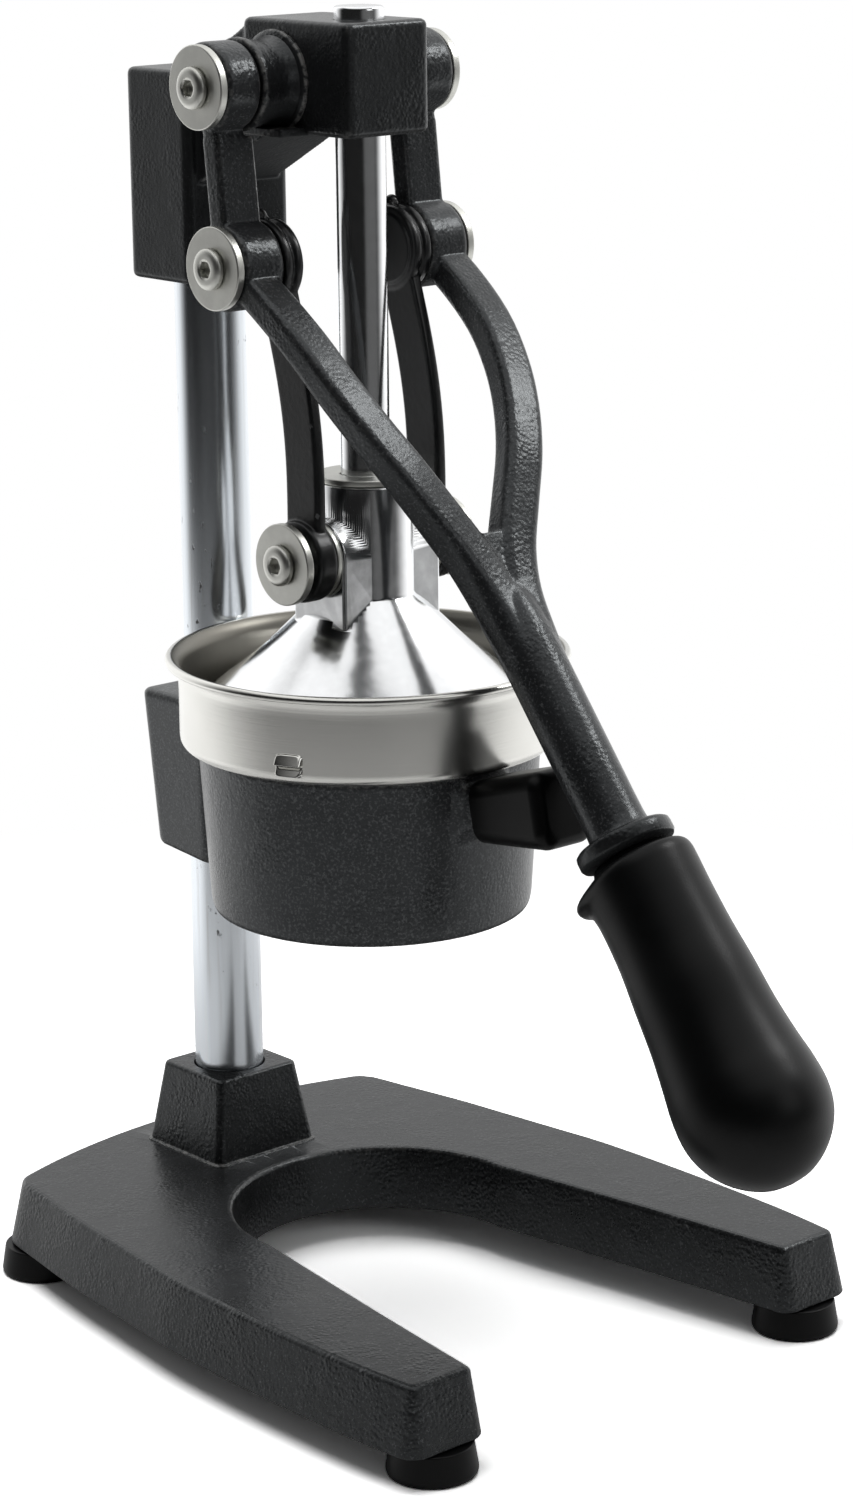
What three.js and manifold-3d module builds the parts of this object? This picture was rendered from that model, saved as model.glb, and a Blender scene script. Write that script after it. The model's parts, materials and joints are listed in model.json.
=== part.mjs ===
// Hand-lever citrus press: horseshoe base on four rubber feet, steel post, head casting
// with a sliding plunger, holder cup with funnel and strainer, forked lever and two links.
// Millimetres, +Z up. The plunger rod and the cup share the axis X = Y = 0, the floor is
// Z = 0, the operator stands at -Y.
import * as THREE from 'three';
import { mergeVertices } from 'three/addons/utils/BufferGeometryUtils.js';
import Module from 'manifold-3d';

const wasm = await Module();
wasm.setup();

// ---------------------------------------------------------------- driving dimensions
const GAP = 0.3;              // between faces that touch in the real thing
const BORE_CLEARANCE = 0.3;   // radial, pins and rods in their bores

// base
const BASE_TOP_Z = 29.9;
const BASE_UNDER_Z = 9.7;
const BASE_PLATE = 7;         // thickness of the top plate over the cored underside
const BASE_WALL = 6.5;        // side walls of the cored underside
const BASE_DRAFT = 4.4;       // outward spread of the sides from top to bottom
const BASE_INNER_DRAFT = 2.2;
const BASE_FRONT_DRAFT = 4.2;
const BASE_EDGE_R = 1.8;      // rounded rim of the top face
const BASE_REAR_Y = 103.5;    // apex of the rear edge arc
const BASE_REAR_R = 204;
const BASE_FRONT_Y = -114.5;
const SIDE_STATIONS = [       // Y along the side, half width of the top face there
  [90.5, 71], [86, 73.2], [72, 75.6], [49, 79.6], [28, 82.2], [5, 85], [-13, 87],
  [-45, 87.9], [-80, 87.5], [-98, 86.6], [-111, 85.4]];
const HORSESHOE_R = 47.5;     // round inner end of the opening
const HORSESHOE_Y = -4;
const LEG_INNER_X = 63;       // inner corner of each front leg

// post and its sockets
const POST_R = 11;
const POST_WALL = 2.5;
const POST_Y = 72.6;
const SOCKET_TOP_Z = 56.9;
const SOCKET_TOP = [16, 15.3];     // half sizes in X and Y at the top
const SOCKET_FOOT = [19.5, 18.3];  // and where it meets the plate
const SOCKET_CORNER_R = 3.2;
const SOCKET_FLARE = 5;            // sweep of the fillet around its foot
const SOCKET_FLOOR = 10;           // solid thickness under the post
const POST_TOP_Z = 366;
const POST_PLUG_LENGTH = 26;
const POST_BOLT_R = 3.9;
const POST_BOLT_HEAD_R = 6.4;
const POST_BOLT_HEAD_H = 6;
const WASHER_T = 1.6;

// feet
const FOOT_TOP_R = 12;
const FOOT_FLOOR_R = 13.3;
const FOOT_WELL_R = 5.4;
const FOOT_WELL_DEPTH = 5.2;
const FOOT_SCREW_R = 2;
const FOOT_SCREW_HEAD_R = 4.2;
const FOOT_SCREW_HEAD_H = 2.3;
const FOOT_SCREW_LENGTH = 12;
const FEET = [['front_left', -74, -109.5], ['front_right', 74, -109.5],
  ['rear_left', -68, 84], ['rear_right', 68, 84]];

// head casting
const HEAD_REAR_X = 19.6;
const HEAD_REAR_HALF_Y = 15;
const HEAD_REAR_Z = [312, 375.7];
const HEAD_FRONT_X = 15.8;
const HEAD_FRONT_Y = [-13.1, 34.6];
const HEAD_FRONT_Z = [359.9, 392.5];
const HEAD_EDGE = 2;
const ARM_DEPTH = 35.7;            // from the rear block's top down to the arm's underside
const ARM_ROOT = 8;                // how far the arm runs into the rear block
const ARM_LAP = 12;                // and into the front block
const ARM_STEP = 1.2;              // the arm's ridge below the front block's top
const BOSS_R = 13.5;
const BOSS_RING_R = 14.6;
const BOSS_END_X = 30.5;

// linkage, all pivots run along X
const PIVOT_TOP = [19.1, 374.7];   // Y, Z of lever on head
const PIVOT_MID = [13.4, 323.5];   // lever on links
const PIVOT_LOW = [0, 236.8];      // links on plunger
const EYE_R = 12.8;
const LEVER_IN_X = 31;              // inner face of the upper eyes
const BAR_IN_X = 28.4;              // inner face of the bars and of the middle eyes
const LEVER_OUT_X = 42.6;
const PIVOT_WASHER_R = 12.16;
const PIVOT_WASHER_T = 2.6;
const PIVOT_BOLT_R = 4.1;
const PIVOT_HEAD_R = 6.1;
const PIVOT_HEAD_H = 2.5;
const HEX_R = 2.6;
const BUSH_WALL = 1.8;
const BOLT_THREAD = 12;            // depth of thread in the head bosses

// links
const LINK_X = [21.6, 25.5];         // the flat bar
const LINK_EYE_X = [21.2, 27.9];    // its upper eye
const LINK_FOOT_X = [21, 27.7];    // its lower eye
const LINK_HALF_W = 7.2;
const LINK_LEAN = 0.6;             // the bar sits forward of its eyes by this
const LINK_BULGE = 5;

// lever
const BAR_HALF_T = 3.8;
const YOKE_HALF_W = 6;
const YOKE_HALF_T = 4.5;
const YOKE = [                     // distance from the middle pivot, |X|, rise off the line
  [0, 36.4, 0], [16, 36.4, 5.8], [34, 35.2, 10.2], [50, 32.6, 11.4],
  [64, 28.4, 11.2], [78, 22, 9.8], [92, 14, 6.6], [105, 6.6, 3.4], [116, 2.6, 1.2]];
const SHAFT_R = 9;
const SHAFT_FROM = 98;
const COLLAR_AT = 196.6;
const COLLAR_R = 14.2;
const COLLAR_T = 5.2;
const TANG_R = 7;
const TANG_LENGTH = 78;
const GRIP = [                     // distance, radius, slant, finger stop, drop of the axis
  [204.2, 12.6, 0.06, 0, 0], [205.4, 15, 0.1, 3.2, 0], [206.6, 16.3, 0.11, 6.8, 0],
  [208.6, 16.9, 0.12, 5.4, 0], [211, 17, 0.1, 2, 0], [214.5, 17, 0.06, 0.5, 0],
  [220, 17, 0.01, 0, 0], [231, 17.3, 0, 0, 0], [243, 18.3, 0, 0, 0.3], [256, 19.2, 0, 0, 0.8],
  [267, 20.6, 0, 0, 1.2], [275, 21.8, 0, 0, 1.3], [283, 22.1, 0, 0, 1.2], [290, 20.5, 0, 0, 1],
  [296, 17, 0, 0, 0.9], [300.6, 12.2, 0, 0, 0.8], [303.6, 6.6, 0, 0, 0.8],
  [304.8, 0.8, 0, 0, 0.8]];

// plunger
const ROD_R = 7.35;
const ROD_TOP_Z = 396.4;
const NECK_R = 14.4;
const NECK_TOP_Z = 258;
const CONE_SEAT_Z = 224.8;
const FLANGE_R = 15;
const FLANGE_T = 1.8;
const LUG_X = 18.9;
const LUG_R = 11.8;
const LUG_THREAD = 7;
const GUIDE_WALL = 1.4;
const GUIDE_LENGTH = 9;
const CONE_BOLT_R = 2.4;
const CONE_BOLT_HEAD_R = 6;
const CONE_BOLT_HEAD_H = 4;
const CONE_CEILING_Z = 218.4;

// holder cup
const CUP_UNDER_Z = 127.1;
const CUP_RIM_Z = 178;
const CUP_R = [48.8, 51.8];
const CUP_WALL = 4.2;
const CUP_OUTLET_R = 32;
const BRACKET_TOP = [19.6, 16];
const BRACKET_FOOT = [16.6, 13.6];
const BRACKET_Z = [130.8, 182];
const BRACKET_UNDER_DROP = 2.4;    // its underside falls this much towards the cup
const STUB_TILT = 12 * Math.PI / 180;
const STUB_HALF_X = 8;
const STUB_HALF_Z = 6;
const CAP_WALL = 3;
const CAP_Y = [-87.2, -57];
const CAP_MID_Z = 168.2;
const CAP_FRONT_SWELL = 2.5;       // the cap grows taller towards its front face

// funnel and strainer
const SHEET = 1.1;
const LIP_R = 61.2;
const LIP_Z = 206.2;
const BAND_R = 57.2;
const SPOUT_R = 14;
const SPOUT_Z = 120;
const SPOUT_MOUTH_Z = CUP_UNDER_Z + 11;  // where the cone meets the spout
const SEAT_LAP = 1.4;              // how far the bowl's seat reaches in past the cup's wall
const SHOULDER = [2, 4];           // in and down, from the seat to the cone
const DOME_TOP_Z = 210;
const SLOTS = [[8, 24, 14], [12, 38.4, 8]];  // count, mid radius, length of each ring
const SLOT_W = 2.6;

// facets around turned pieces
const RING = 32;
const ROUND = 20;
const SMALL = 12;
const TINY = 8;

// set screws
const SET_SCREW_R = 3;
const SET_SCREW_LENGTH = 6.5;

// ---------------------------------------------------------------- helpers
const V = (x, y, z) => new THREE.Vector3(x, y, z);

function bare(geometry) {
  const g = geometry.clone();
  for (const name of Object.keys(g.attributes)) if (name !== 'position') g.deleteAttribute(name);
  return mergeVertices(g, 1e-4);
}

function toSolid(geometry) {
  const g = bare(geometry);
  const pos = g.attributes.position.array;
  const idx = g.index.array;
  const tri = [];
  let volume = 0;
  const a = V(), b = V(), c = V();
  for (let i = 0; i < idx.length; i += 3) {
    if (idx[i] === idx[i + 1] || idx[i + 1] === idx[i + 2] || idx[i] === idx[i + 2]) continue;
    tri.push(idx[i], idx[i + 1], idx[i + 2]);
    a.fromArray(pos, 3 * idx[i]);
    b.fromArray(pos, 3 * idx[i + 1]);
    c.fromArray(pos, 3 * idx[i + 2]);
    volume += a.dot(b.cross(c));
  }
  if (volume < 0) for (let i = 0; i < tri.length; i += 3) [tri[i], tri[i + 1]] = [tri[i + 1], tri[i]];
  return new wasm.Manifold(new wasm.Mesh({
    numProp: 3, vertProperties: new Float32Array(pos), triVerts: new Uint32Array(tri) }));
}

function toGeometry(solid) {
  const mesh = solid.getMesh();
  const g = new THREE.BufferGeometry();
  g.setAttribute('position', new THREE.BufferAttribute(new Float32Array(mesh.vertProperties), 3));
  g.setIndex(new THREE.BufferAttribute(new Uint32Array(mesh.triVerts), 1));
  g.computeVertexNormals();
  return g;
}

const join = (...s) => s.reduce((a, b) => a.add(b));
const cut = (a, ...s) => s.reduce((x, y) => x.subtract(y), a);

// A turned piece: profile of [radius, height] points, closed through the axis or on itself.
function turned(profile, segments = ROUND, axis = 'z', at = [0, 0, 0]) {
  const pts = profile.map(([r, h]) => new THREE.Vector2(r, h));
  if (profile[0][0] > 1e-6 || profile[profile.length - 1][0] > 1e-6) pts.push(pts[0].clone());
  const g = new THREE.LatheGeometry(pts, segments);
  if (axis === 'z') g.rotateX(Math.PI / 2);
  if (axis === 'x') g.rotateZ(-Math.PI / 2);
  g.translate(...at);
  return toSolid(g);
}

const rod = (r, from, to, segments, axis, at) =>
  turned([[0, from], [r, from], [r, to], [0, to]], segments, axis, at);

const tube = (rIn, rOut, from, to, segments, axis, at) =>
  turned([[rIn, from], [rOut, from], [rOut, to], [rIn, to]], segments, axis, at);

// A skin over rings of equally many points, closed with flat ends.
function loft(rings) {
  const n = rings[0].length;
  const pos = [];
  rings.forEach((ring) => ring.forEach((p) => pos.push(...p)));
  const idx = [];
  for (let k = 0; k + 1 < rings.length; k++) {
    for (let i = 0; i < n; i++) {
      const j = (i + 1) % n, a = k * n, b = (k + 1) * n;
      idx.push(a + i, a + j, b + j, a + i, b + j, b + i);
    }
  }
  const flat = (ring) => {
    const o = V(...ring[0]);
    const normal = V();
    ring.forEach((p, i) => normal.add(V(...p).sub(o).cross(V(...ring[(i + 1) % n]).sub(o))));
    const u = V(...ring[1]).sub(o).projectOnPlane(normal.normalize()).normalize();
    const w = normal.clone().cross(u);
    return ring.map((p) => new THREE.Vector2(V(...p).sub(o).dot(u), V(...p).sub(o).dot(w)));
  };
  const last = (rings.length - 1) * n;
  for (const [a, b, c] of THREE.ShapeUtils.triangulateShape(flat(rings[0]), [])) idx.push(c, b, a);
  for (const [a, b, c] of THREE.ShapeUtils.triangulateShape(flat(rings[rings.length - 1]), [])) {
    idx.push(last + a, last + b, last + c);
  }
  const g = new THREE.BufferGeometry();
  g.setAttribute('position', new THREE.BufferAttribute(new Float32Array(pos), 3));
  g.setIndex(idx);
  return toSolid(g);
}

// Rounded rectangle in a plane of Z, as a ring of points.
function rounded(hx, hy, r, z, cx = 0, cy = 0, steps = 3) {
  const ring = [];
  [[1, 1, 0], [-1, 1, 1], [-1, -1, 2], [1, -1, 3]].forEach(([sx, sy, q]) => {
    for (let i = 0; i <= steps; i++) {
      const a = (q + i / steps) * Math.PI / 2;
      ring.push([cx + sx * (hx - r) + r * Math.cos(a), cy + sy * (hy - r) + r * Math.sin(a), z]);
    }
  });
  return ring;
}

const block = (x0, x1, y0, y1, z0, z1, r = 0.01) =>
  loft([z0, z1].map((z) =>
    rounded((x1 - x0) / 2, (y1 - y0) / 2, r, z, (x0 + x1) / 2, (y0 + y1) / 2, r > 0.1 ? 3 : 1)));

// A block with rounded corners and bevelled top and bottom edges.
const softBlock = (hx, y0, y1, z0, z1, r, bevel) => {
  const cy = (y0 + y1) / 2, hy = (y1 - y0) / 2;
  return loft([[z0, bevel], [z0 + bevel, 0], [z1 - bevel, 0], [z1, bevel]].map(([z, d]) =>
    rounded(hx - d, hy - d, Math.max(r - d, 0.4), z, 0, cy)));
};

// Outline in Y and Z pushed out along X.
const slab = (points, x0, x1) => loft([x0, x1].map((x) => points.map(([y, z]) => [x, y, z])));

const mirror = (solid) => solid.mirror([1, 0, 0]);

// ---------------------------------------------------------------- scene
const press = new THREE.Group();
press.name = 'citrus_press';

const finish = {
  casting: new THREE.MeshStandardMaterial({ color: 0x34373a, roughness: 0.55, metalness: 0.3 }),
  paint: new THREE.MeshStandardMaterial({ color: 0x2b2e31, roughness: 0.35, metalness: 0.4 }),
  plated: new THREE.MeshStandardMaterial({ color: 0x9aa5ab, roughness: 0.22, metalness: 1 }),
  chrome: new THREE.MeshStandardMaterial({ color: 0xdfe3e6, roughness: 0.08, metalness: 1 }),
  satin: new THREE.MeshStandardMaterial({ color: 0xbfbfb8, roughness: 0.32, metalness: 1 }),
  nickel: new THREE.MeshStandardMaterial({ color: 0xa6a59e, roughness: 0.38, metalness: 1 }),
  bronze: new THREE.MeshStandardMaterial({ color: 0x9c7b45, roughness: 0.4, metalness: 1 }),
  rubber: new THREE.MeshStandardMaterial({ color: 0x141516, roughness: 0.75, metalness: 0 }),
  grip: new THREE.MeshStandardMaterial({ color: 0x1b1c1d, roughness: 0.4, metalness: 0 }),
};

function place(name, solid, material) {
  const mesh = new THREE.Mesh(toGeometry(solid), material);
  mesh.name = name;
  press.add(mesh);
}

const SIDES = [['left', -1], ['right', 1]];

// ---------------------------------------------------------------- base
const PLUG_BOTTOM_Z = BASE_TOP_Z - BASE_PLATE + SOCKET_FLOOR;
const POST_BOTTOM_Z = PLUG_BOTTOM_Z + GAP;
const POST_BORE_R = POST_R + BORE_CLEARANCE;

function halfOutline() {
  const side = [];
  const cornerX = SIDE_STATIONS[0][1];
  const arcY = (x) => BASE_REAR_Y - BASE_REAR_R + Math.sqrt(BASE_REAR_R ** 2 - x * x);
  for (const t of [0.12, 0.36, 0.6, 0.8, 0.93]) {
    side.push([t * cornerX, arcY(t * cornerX), 'rear']);
  }
  side.push([cornerX - 1.2, arcY(cornerX - 1.2) - 0.5, 'corner']);
  SIDE_STATIONS.forEach(([y, x]) => side.push([x, y, 'side']));
  side.push([84.2, BASE_FRONT_Y + 0.6, 'toe'], [82.6, BASE_FRONT_Y, 'front']);
  side.push([LEG_INNER_X + 1.3, BASE_FRONT_Y, 'front'], [LEG_INNER_X, BASE_FRONT_Y + 1.3, 'toe']);
  const arcEnd = Math.PI * 1.03;
  const [ax, ay] = [HORSESHOE_R * Math.sin(arcEnd / 2), -HORSESHOE_R * Math.cos(arcEnd / 2)];
  for (const t of [0.25, 0.5, 0.75]) {
    side.push([LEG_INNER_X + (ax - LEG_INNER_X) * t + 0.4 * Math.sin(Math.PI * t),
      BASE_FRONT_Y + 1.3 + (HORSESHOE_Y - ay - BASE_FRONT_Y - 1.3) * t, 'leg']);
  }
  for (let i = 0; i < 9; i++) {
    const a = arcEnd / 2 * (1 - i / 9);
    side.push([HORSESHOE_R * Math.sin(a), HORSESHOE_Y + HORSESHOE_R * Math.cos(a), 'leg']);
  }
  return side;
}

const OUTLINE = (() => {
  const half = halfOutline();
  const other = half.map(([x, y, kind]) => [-x, y, kind]).reverse();
  return [...half, ...other];
})();

// The outline moved outwards by one amount on the outside and another round the opening.
function baseRing(outer, inner, front, z, line = OUTLINE) {
  const n = line.length;
  return line.map(([x, y, kind], i) => {
    const [px, py] = line[(i + n - 1) % n], [qx, qy] = line[(i + 1) % n];
    const length = Math.hypot(qx - px, qy - py);
    const [nx, ny] = [-(qy - py) / length, (qx - px) / length];
    const d = { leg: inner, front, toe: 1.4 * front }[kind] ?? outer;
    return [x + nx * d, y + ny * d, z];
  });
}

const rimRings = [[BASE_UNDER_Z, 1], [BASE_TOP_Z - BASE_EDGE_R, 0.06], [BASE_TOP_Z - 0.5, -0.12],
  [BASE_TOP_Z, -0.4]];
const baseBody = loft(rimRings.map(([z, k]) =>
  baseRing(k * BASE_DRAFT, k * BASE_INNER_DRAFT, k * BASE_FRONT_DRAFT, z)));
const CORE_LINE = OUTLINE.filter(([x, y, kind]) => !['corner', 'front', 'toe'].includes(kind)
  && y > BASE_FRONT_Y + 12 && !(y > 80 && Math.abs(x) > 60));
const pocket = loft([[BASE_UNDER_Z - 1, BASE_WALL - BASE_DRAFT],
  [BASE_TOP_Z - BASE_PLATE, BASE_WALL]].map(([z, d]) => baseRing(-d, -d, -d, z, CORE_LINE)));
const socketRings = [
  [BASE_TOP_Z - 1.5, SOCKET_FOOT, SOCKET_FLARE], [BASE_TOP_Z + 0.9, SOCKET_FOOT, SOCKET_FLARE - 1.2],
  [BASE_TOP_Z + 1.2, SOCKET_FOOT, 1], [BASE_TOP_Z + 2.4, SOCKET_FOOT, 0],
  [SOCKET_TOP_Z - 1.2, SOCKET_TOP, 0], [SOCKET_TOP_Z, SOCKET_TOP, -1.2]];
const socketBlock = loft(socketRings.map(([z, [hx, hy], d]) =>
  rounded(hx + d, hy + d, SOCKET_CORNER_R + d, z, 0, POST_Y - 0.15)));
const footBosses = FEET.map(([, x, y]) => cut(
  rod(FOOT_TOP_R - 2, BASE_UNDER_Z, BASE_TOP_Z - BASE_PLATE + 1, SMALL, 'z', [x, y, 0]),
  rod(FOOT_SCREW_R + BORE_CLEARANCE, BASE_UNDER_Z - 1,
    FOOT_WELL_DEPTH + FOOT_SCREW_LENGTH + 1, TINY, 'z', [x, y, 0])));
const footHoles = FEET.map(([, x, y]) => rod(FOOT_SCREW_R + BORE_CLEARANCE, BASE_UNDER_Z - 1,
  FOOT_WELL_DEPTH + FOOT_SCREW_LENGTH + 1, TINY, 'z', [x, y, 0]));

place('base_casting', cut(
  join(cut(baseBody, pocket), socketBlock, ...footBosses),
  rod(POST_BORE_R, PLUG_BOTTOM_Z, SOCKET_TOP_Z + 1, ROUND, 'z', [0, POST_Y, 0]),
  rod(POST_BORE_R + 1.2, SOCKET_TOP_Z - 2.2, SOCKET_TOP_Z + 1, ROUND, 'z', [0, POST_Y, 0]),
  rod(POST_BOLT_R + BORE_CLEARANCE, 0, PLUG_BOTTOM_Z + 1, SMALL, 'z', [0, POST_Y, 0]),
  ...footHoles), finish.casting);

const FOOT_TOP_Z = BASE_UNDER_Z - GAP;
FEET.forEach(([where, x, y]) => {
  const hole = FOOT_SCREW_R + BORE_CLEARANCE;
  place(`foot_${where}`, turned([
    [FOOT_WELL_R, 0], [FOOT_FLOOR_R - 0.4, 0], [FOOT_FLOOR_R, 0.9], [FOOT_TOP_R, FOOT_TOP_Z],
    [hole, FOOT_TOP_Z], [hole, FOOT_WELL_DEPTH], [FOOT_WELL_R, FOOT_WELL_DEPTH]],
  20, 'z', [x, y, 0]), finish.rubber);
  const head = FOOT_WELL_DEPTH - GAP;
  place(`foot_screw_${where}`, turned([
    [0, head - FOOT_SCREW_HEAD_H], [FOOT_SCREW_HEAD_R, head - FOOT_SCREW_HEAD_H],
    [FOOT_SCREW_HEAD_R, head],
    [FOOT_SCREW_R, head], [FOOT_SCREW_R, head + FOOT_SCREW_LENGTH],
    [0, head + FOOT_SCREW_LENGTH]], TINY, 'z', [x, y, 0]), finish.nickel);
});

// ---------------------------------------------------------------- post
const POST_IN_R = POST_R - POST_WALL;
place('post', tube(POST_IN_R, POST_R, POST_BOTTOM_Z, POST_TOP_Z, ROUND, 'z', [0, POST_Y, 0]),
  finish.plated);
place('post_plug', tube(POST_BOLT_R + BORE_CLEARANCE, POST_IN_R - GAP, POST_BOTTOM_Z + 0.5,
  POST_BOTTOM_Z + POST_PLUG_LENGTH, SMALL, 'z', [0, POST_Y, 0]), finish.nickel);
const BOLT_SEAT_Z = BASE_TOP_Z - BASE_PLATE - GAP;
place('post_bolt_washer', tube(POST_BOLT_R + BORE_CLEARANCE, POST_BOLT_HEAD_R + 2.2,
  BOLT_SEAT_Z - WASHER_T, BOLT_SEAT_Z, SMALL, 'z', [0, POST_Y, 0]), finish.nickel);
const boltHeadTop = BOLT_SEAT_Z - WASHER_T - GAP;
place('post_bolt', join(
  rod(POST_BOLT_HEAD_R, boltHeadTop - POST_BOLT_HEAD_H, boltHeadTop, 6, 'z', [0, POST_Y, 0]),
  rod(POST_BOLT_R, boltHeadTop - 1, POST_BOTTOM_Z + POST_PLUG_LENGTH - 3, TINY, 'z',
    [0, POST_Y, 0])), finish.nickel);

// ---------------------------------------------------------------- head
const REAR_Y = [POST_Y - HEAD_REAR_HALF_Y - 0.6, POST_Y + HEAD_REAR_HALF_Y - 0.6];
const armBack = REAR_Y[0] + ARM_ROOT;
const armFront = HEAD_FRONT_Y[1] - ARM_LAP;
const armTopZ = HEAD_FRONT_Z[1] - ARM_STEP;
const headArm = slab([
  [armFront, HEAD_FRONT_Z[0] + 0.5], [REAR_Y[0] + 0.5, HEAD_REAR_Z[1] - ARM_DEPTH + 2],
  [armBack, HEAD_REAR_Z[1] - ARM_DEPTH], [armBack, HEAD_REAR_Z[1] - 1.7],
  [REAR_Y[0] + 3, HEAD_REAR_Z[1] - 0.3], [REAR_Y[0], HEAD_REAR_Z[1] + ARM_STEP],
  [HEAD_FRONT_Y[1] - 3, armTopZ], [armFront, armTopZ]], -HEAD_FRONT_X + 0.6, HEAD_FRONT_X - 0.6);
const topAt = [0, ...PIVOT_TOP];
const headBosses = SIDES.map(([, s]) => {
  const side = join(
    rod(BOSS_R, HEAD_FRONT_X - 1, BOSS_END_X - 0.8, ROUND, 'x', topAt),
    rod(BOSS_R - 0.8, HEAD_FRONT_X - 1, BOSS_END_X, ROUND, 'x', topAt),
    rod(BOSS_RING_R, HEAD_FRONT_X - 1, HEAD_FRONT_X + 1.4, ROUND, 'x', topAt));
  return s > 0 ? side : mirror(side);
});
const GUIDE_R = ROD_R + BORE_CLEARANCE;
const HEAD_BORE_R = GUIDE_R + GUIDE_WALL + GAP;
const boltBore = PIVOT_BOLT_R + BORE_CLEARANCE;
const screwsAt = (z, y) => rod(SET_SCREW_R + BORE_CLEARANCE, 0, 30, TINY, 'z', [0, 0, 0])
  .rotate([-90, 0, 0]).translate([0, y, z]);
const HEAD_SCREW_Z = [324, 338];
place('head_casting', cut(
  join(
    softBlock(HEAD_REAR_X, ...REAR_Y, ...HEAD_REAR_Z, 3, HEAD_EDGE),
    softBlock(HEAD_FRONT_X, ...HEAD_FRONT_Y, ...HEAD_FRONT_Z, 3, HEAD_EDGE),
    headArm, ...headBosses),
  rod(HEAD_BORE_R, HEAD_FRONT_Z[0] - 1, HEAD_FRONT_Z[1] + 1, ROUND),
  rod(POST_BORE_R, HEAD_REAR_Z[0] - 1, POST_TOP_Z + 0.5, ROUND, 'z', [0, POST_Y, 0]),
  ...HEAD_SCREW_Z.map((z) => screwsAt(z, POST_Y)),
  rod(boltBore, BOSS_END_X - BOLT_THREAD - GAP, BOSS_END_X + 1, SMALL, 'x', topAt),
  rod(boltBore, -BOSS_END_X - 1, -BOSS_END_X + BOLT_THREAD + GAP, SMALL, 'x', topAt)),
finish.casting);

const guideZ = [['lower', HEAD_FRONT_Z[0] + 0.3], ['upper', HEAD_FRONT_Z[1] - GUIDE_LENGTH - 0.3]];
guideZ.forEach(([where, z]) => place(`rod_guide_bush_${where}`,
  tube(GUIDE_R, GUIDE_R + GUIDE_WALL, z, z + GUIDE_LENGTH, ROUND), finish.bronze));

// Set screws bear on the rear of the post.
function setScrew(name, z) {
  const body = turned([[0, 0], [SET_SCREW_R, 0.8],
    [SET_SCREW_R, SET_SCREW_LENGTH], [1.5, SET_SCREW_LENGTH], [1.5, SET_SCREW_LENGTH - 2.5],
    [0, SET_SCREW_LENGTH - 2.5]], TINY)
    .rotate([-90, 0, 0]).translate([0, POST_Y + POST_R + GAP, z]);
  place(name, body, finish.nickel);
}
setScrew('head_set_screw_lower', HEAD_SCREW_Z[0]);
setScrew('head_set_screw_upper', HEAD_SCREW_Z[1]);

// ---------------------------------------------------------------- holder cup
const cupOuter = [[CUP_R[0] - 2.4, CUP_UNDER_Z], [CUP_R[0] - 0.6, CUP_UNDER_Z + 0.9],
  [CUP_R[0] + 0.1, CUP_UNDER_Z + 3.2], [CUP_R[1], CUP_RIM_Z - 1.4], [CUP_R[1] - 0.9, CUP_RIM_Z]];
const cupShell = turned([[CUP_OUTLET_R, CUP_UNDER_Z], ...cupOuter,
  [CUP_R[1] - CUP_WALL, CUP_RIM_Z], [CUP_R[0] - CUP_WALL, CUP_UNDER_Z + 7.5],
  [CUP_R[0] - CUP_WALL - 2, CUP_UNDER_Z + 5.4], [CUP_OUTLET_R, CUP_UNDER_Z + 5]], RING);
const cupCore = rod(CUP_R[0] - 2, CUP_UNDER_Z - 1, BRACKET_Z[1] + 5, RING);
const bracketFrontY = BAND_R + 1.3;
const bracketRings = [[BRACKET_Z[0], BRACKET_FOOT, 1.4], [BRACKET_Z[0] + 1.4, BRACKET_FOOT, 0],
  [BRACKET_Z[1] - 1.4, BRACKET_TOP, 0], [BRACKET_Z[1], BRACKET_TOP, 1.4]];
const bracketBody = cut(
  join(
    loft(bracketRings.map(([z, [hx, hy], d]) =>
      rounded(hx - d, hy - d, 3.4 - d, z, 0, POST_Y + 0.2).map(([x, y, v]) => [x, y,
        z > 150 ? v : v - BRACKET_UNDER_DROP * (POST_Y + hy - y) / (2 * hy)]))),
    cut(block(-BRACKET_FOOT[0] + 0.5, BRACKET_FOOT[0] - 0.5, 34, POST_Y, BRACKET_Z[0] + 1,
      CUP_RIM_Z - 1.4), cupCore)),
  block(-25, 25, 30, bracketFrontY, CUP_RIM_Z - 1.4, BRACKET_Z[1] + 2));

// The bumper stub and its cap are drawn level, then tipped up about the cap's mouth.
const tip = (solid) => solid.translate([0, -CAP_Y[1], -CAP_MID_Z])
  .rotate([-STUB_TILT * 180 / Math.PI, 0, 0]).translate([0, CAP_Y[1], CAP_MID_Z]);
const CAP_HALF = [STUB_HALF_X + GAP + CAP_WALL - 0.3, STUB_HALF_Z + GAP + CAP_WALL];
const stub = join(
  tip(block(-STUB_HALF_X, STUB_HALF_X, CAP_Y[0] + CAP_WALL + GAP, -40,
    CAP_MID_Z - STUB_HALF_Z, CAP_MID_Z + STUB_HALF_Z, 1.5)),
  loft([[-53.6, 9.4, 7.4, 169.4], [-48, 12, 11.4, 165.4], [-44, 14, 13.6, 163]].map(([y, hx, hz, z]) =>
    rounded(hx, hz, 3, 0).map(([x, v]) => [x, y, v + z]))));
const CUP_SCREW_Z = [147, 167];
place('cup_casting', cut(
  join(cupShell, bracketBody, cut(stub, cupCore)),
  rod(POST_BORE_R, BRACKET_Z[0] - BRACKET_UNDER_DROP - 1, BRACKET_Z[1] + 1, ROUND, 'z',
    [0, POST_Y, 0]),
  ...CUP_SCREW_Z.map((z) => screwsAt(z, POST_Y))), finish.casting);
setScrew('cup_set_screw_lower', CUP_SCREW_Z[0]);
setScrew('cup_set_screw_upper', CUP_SCREW_Z[1]);

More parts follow.
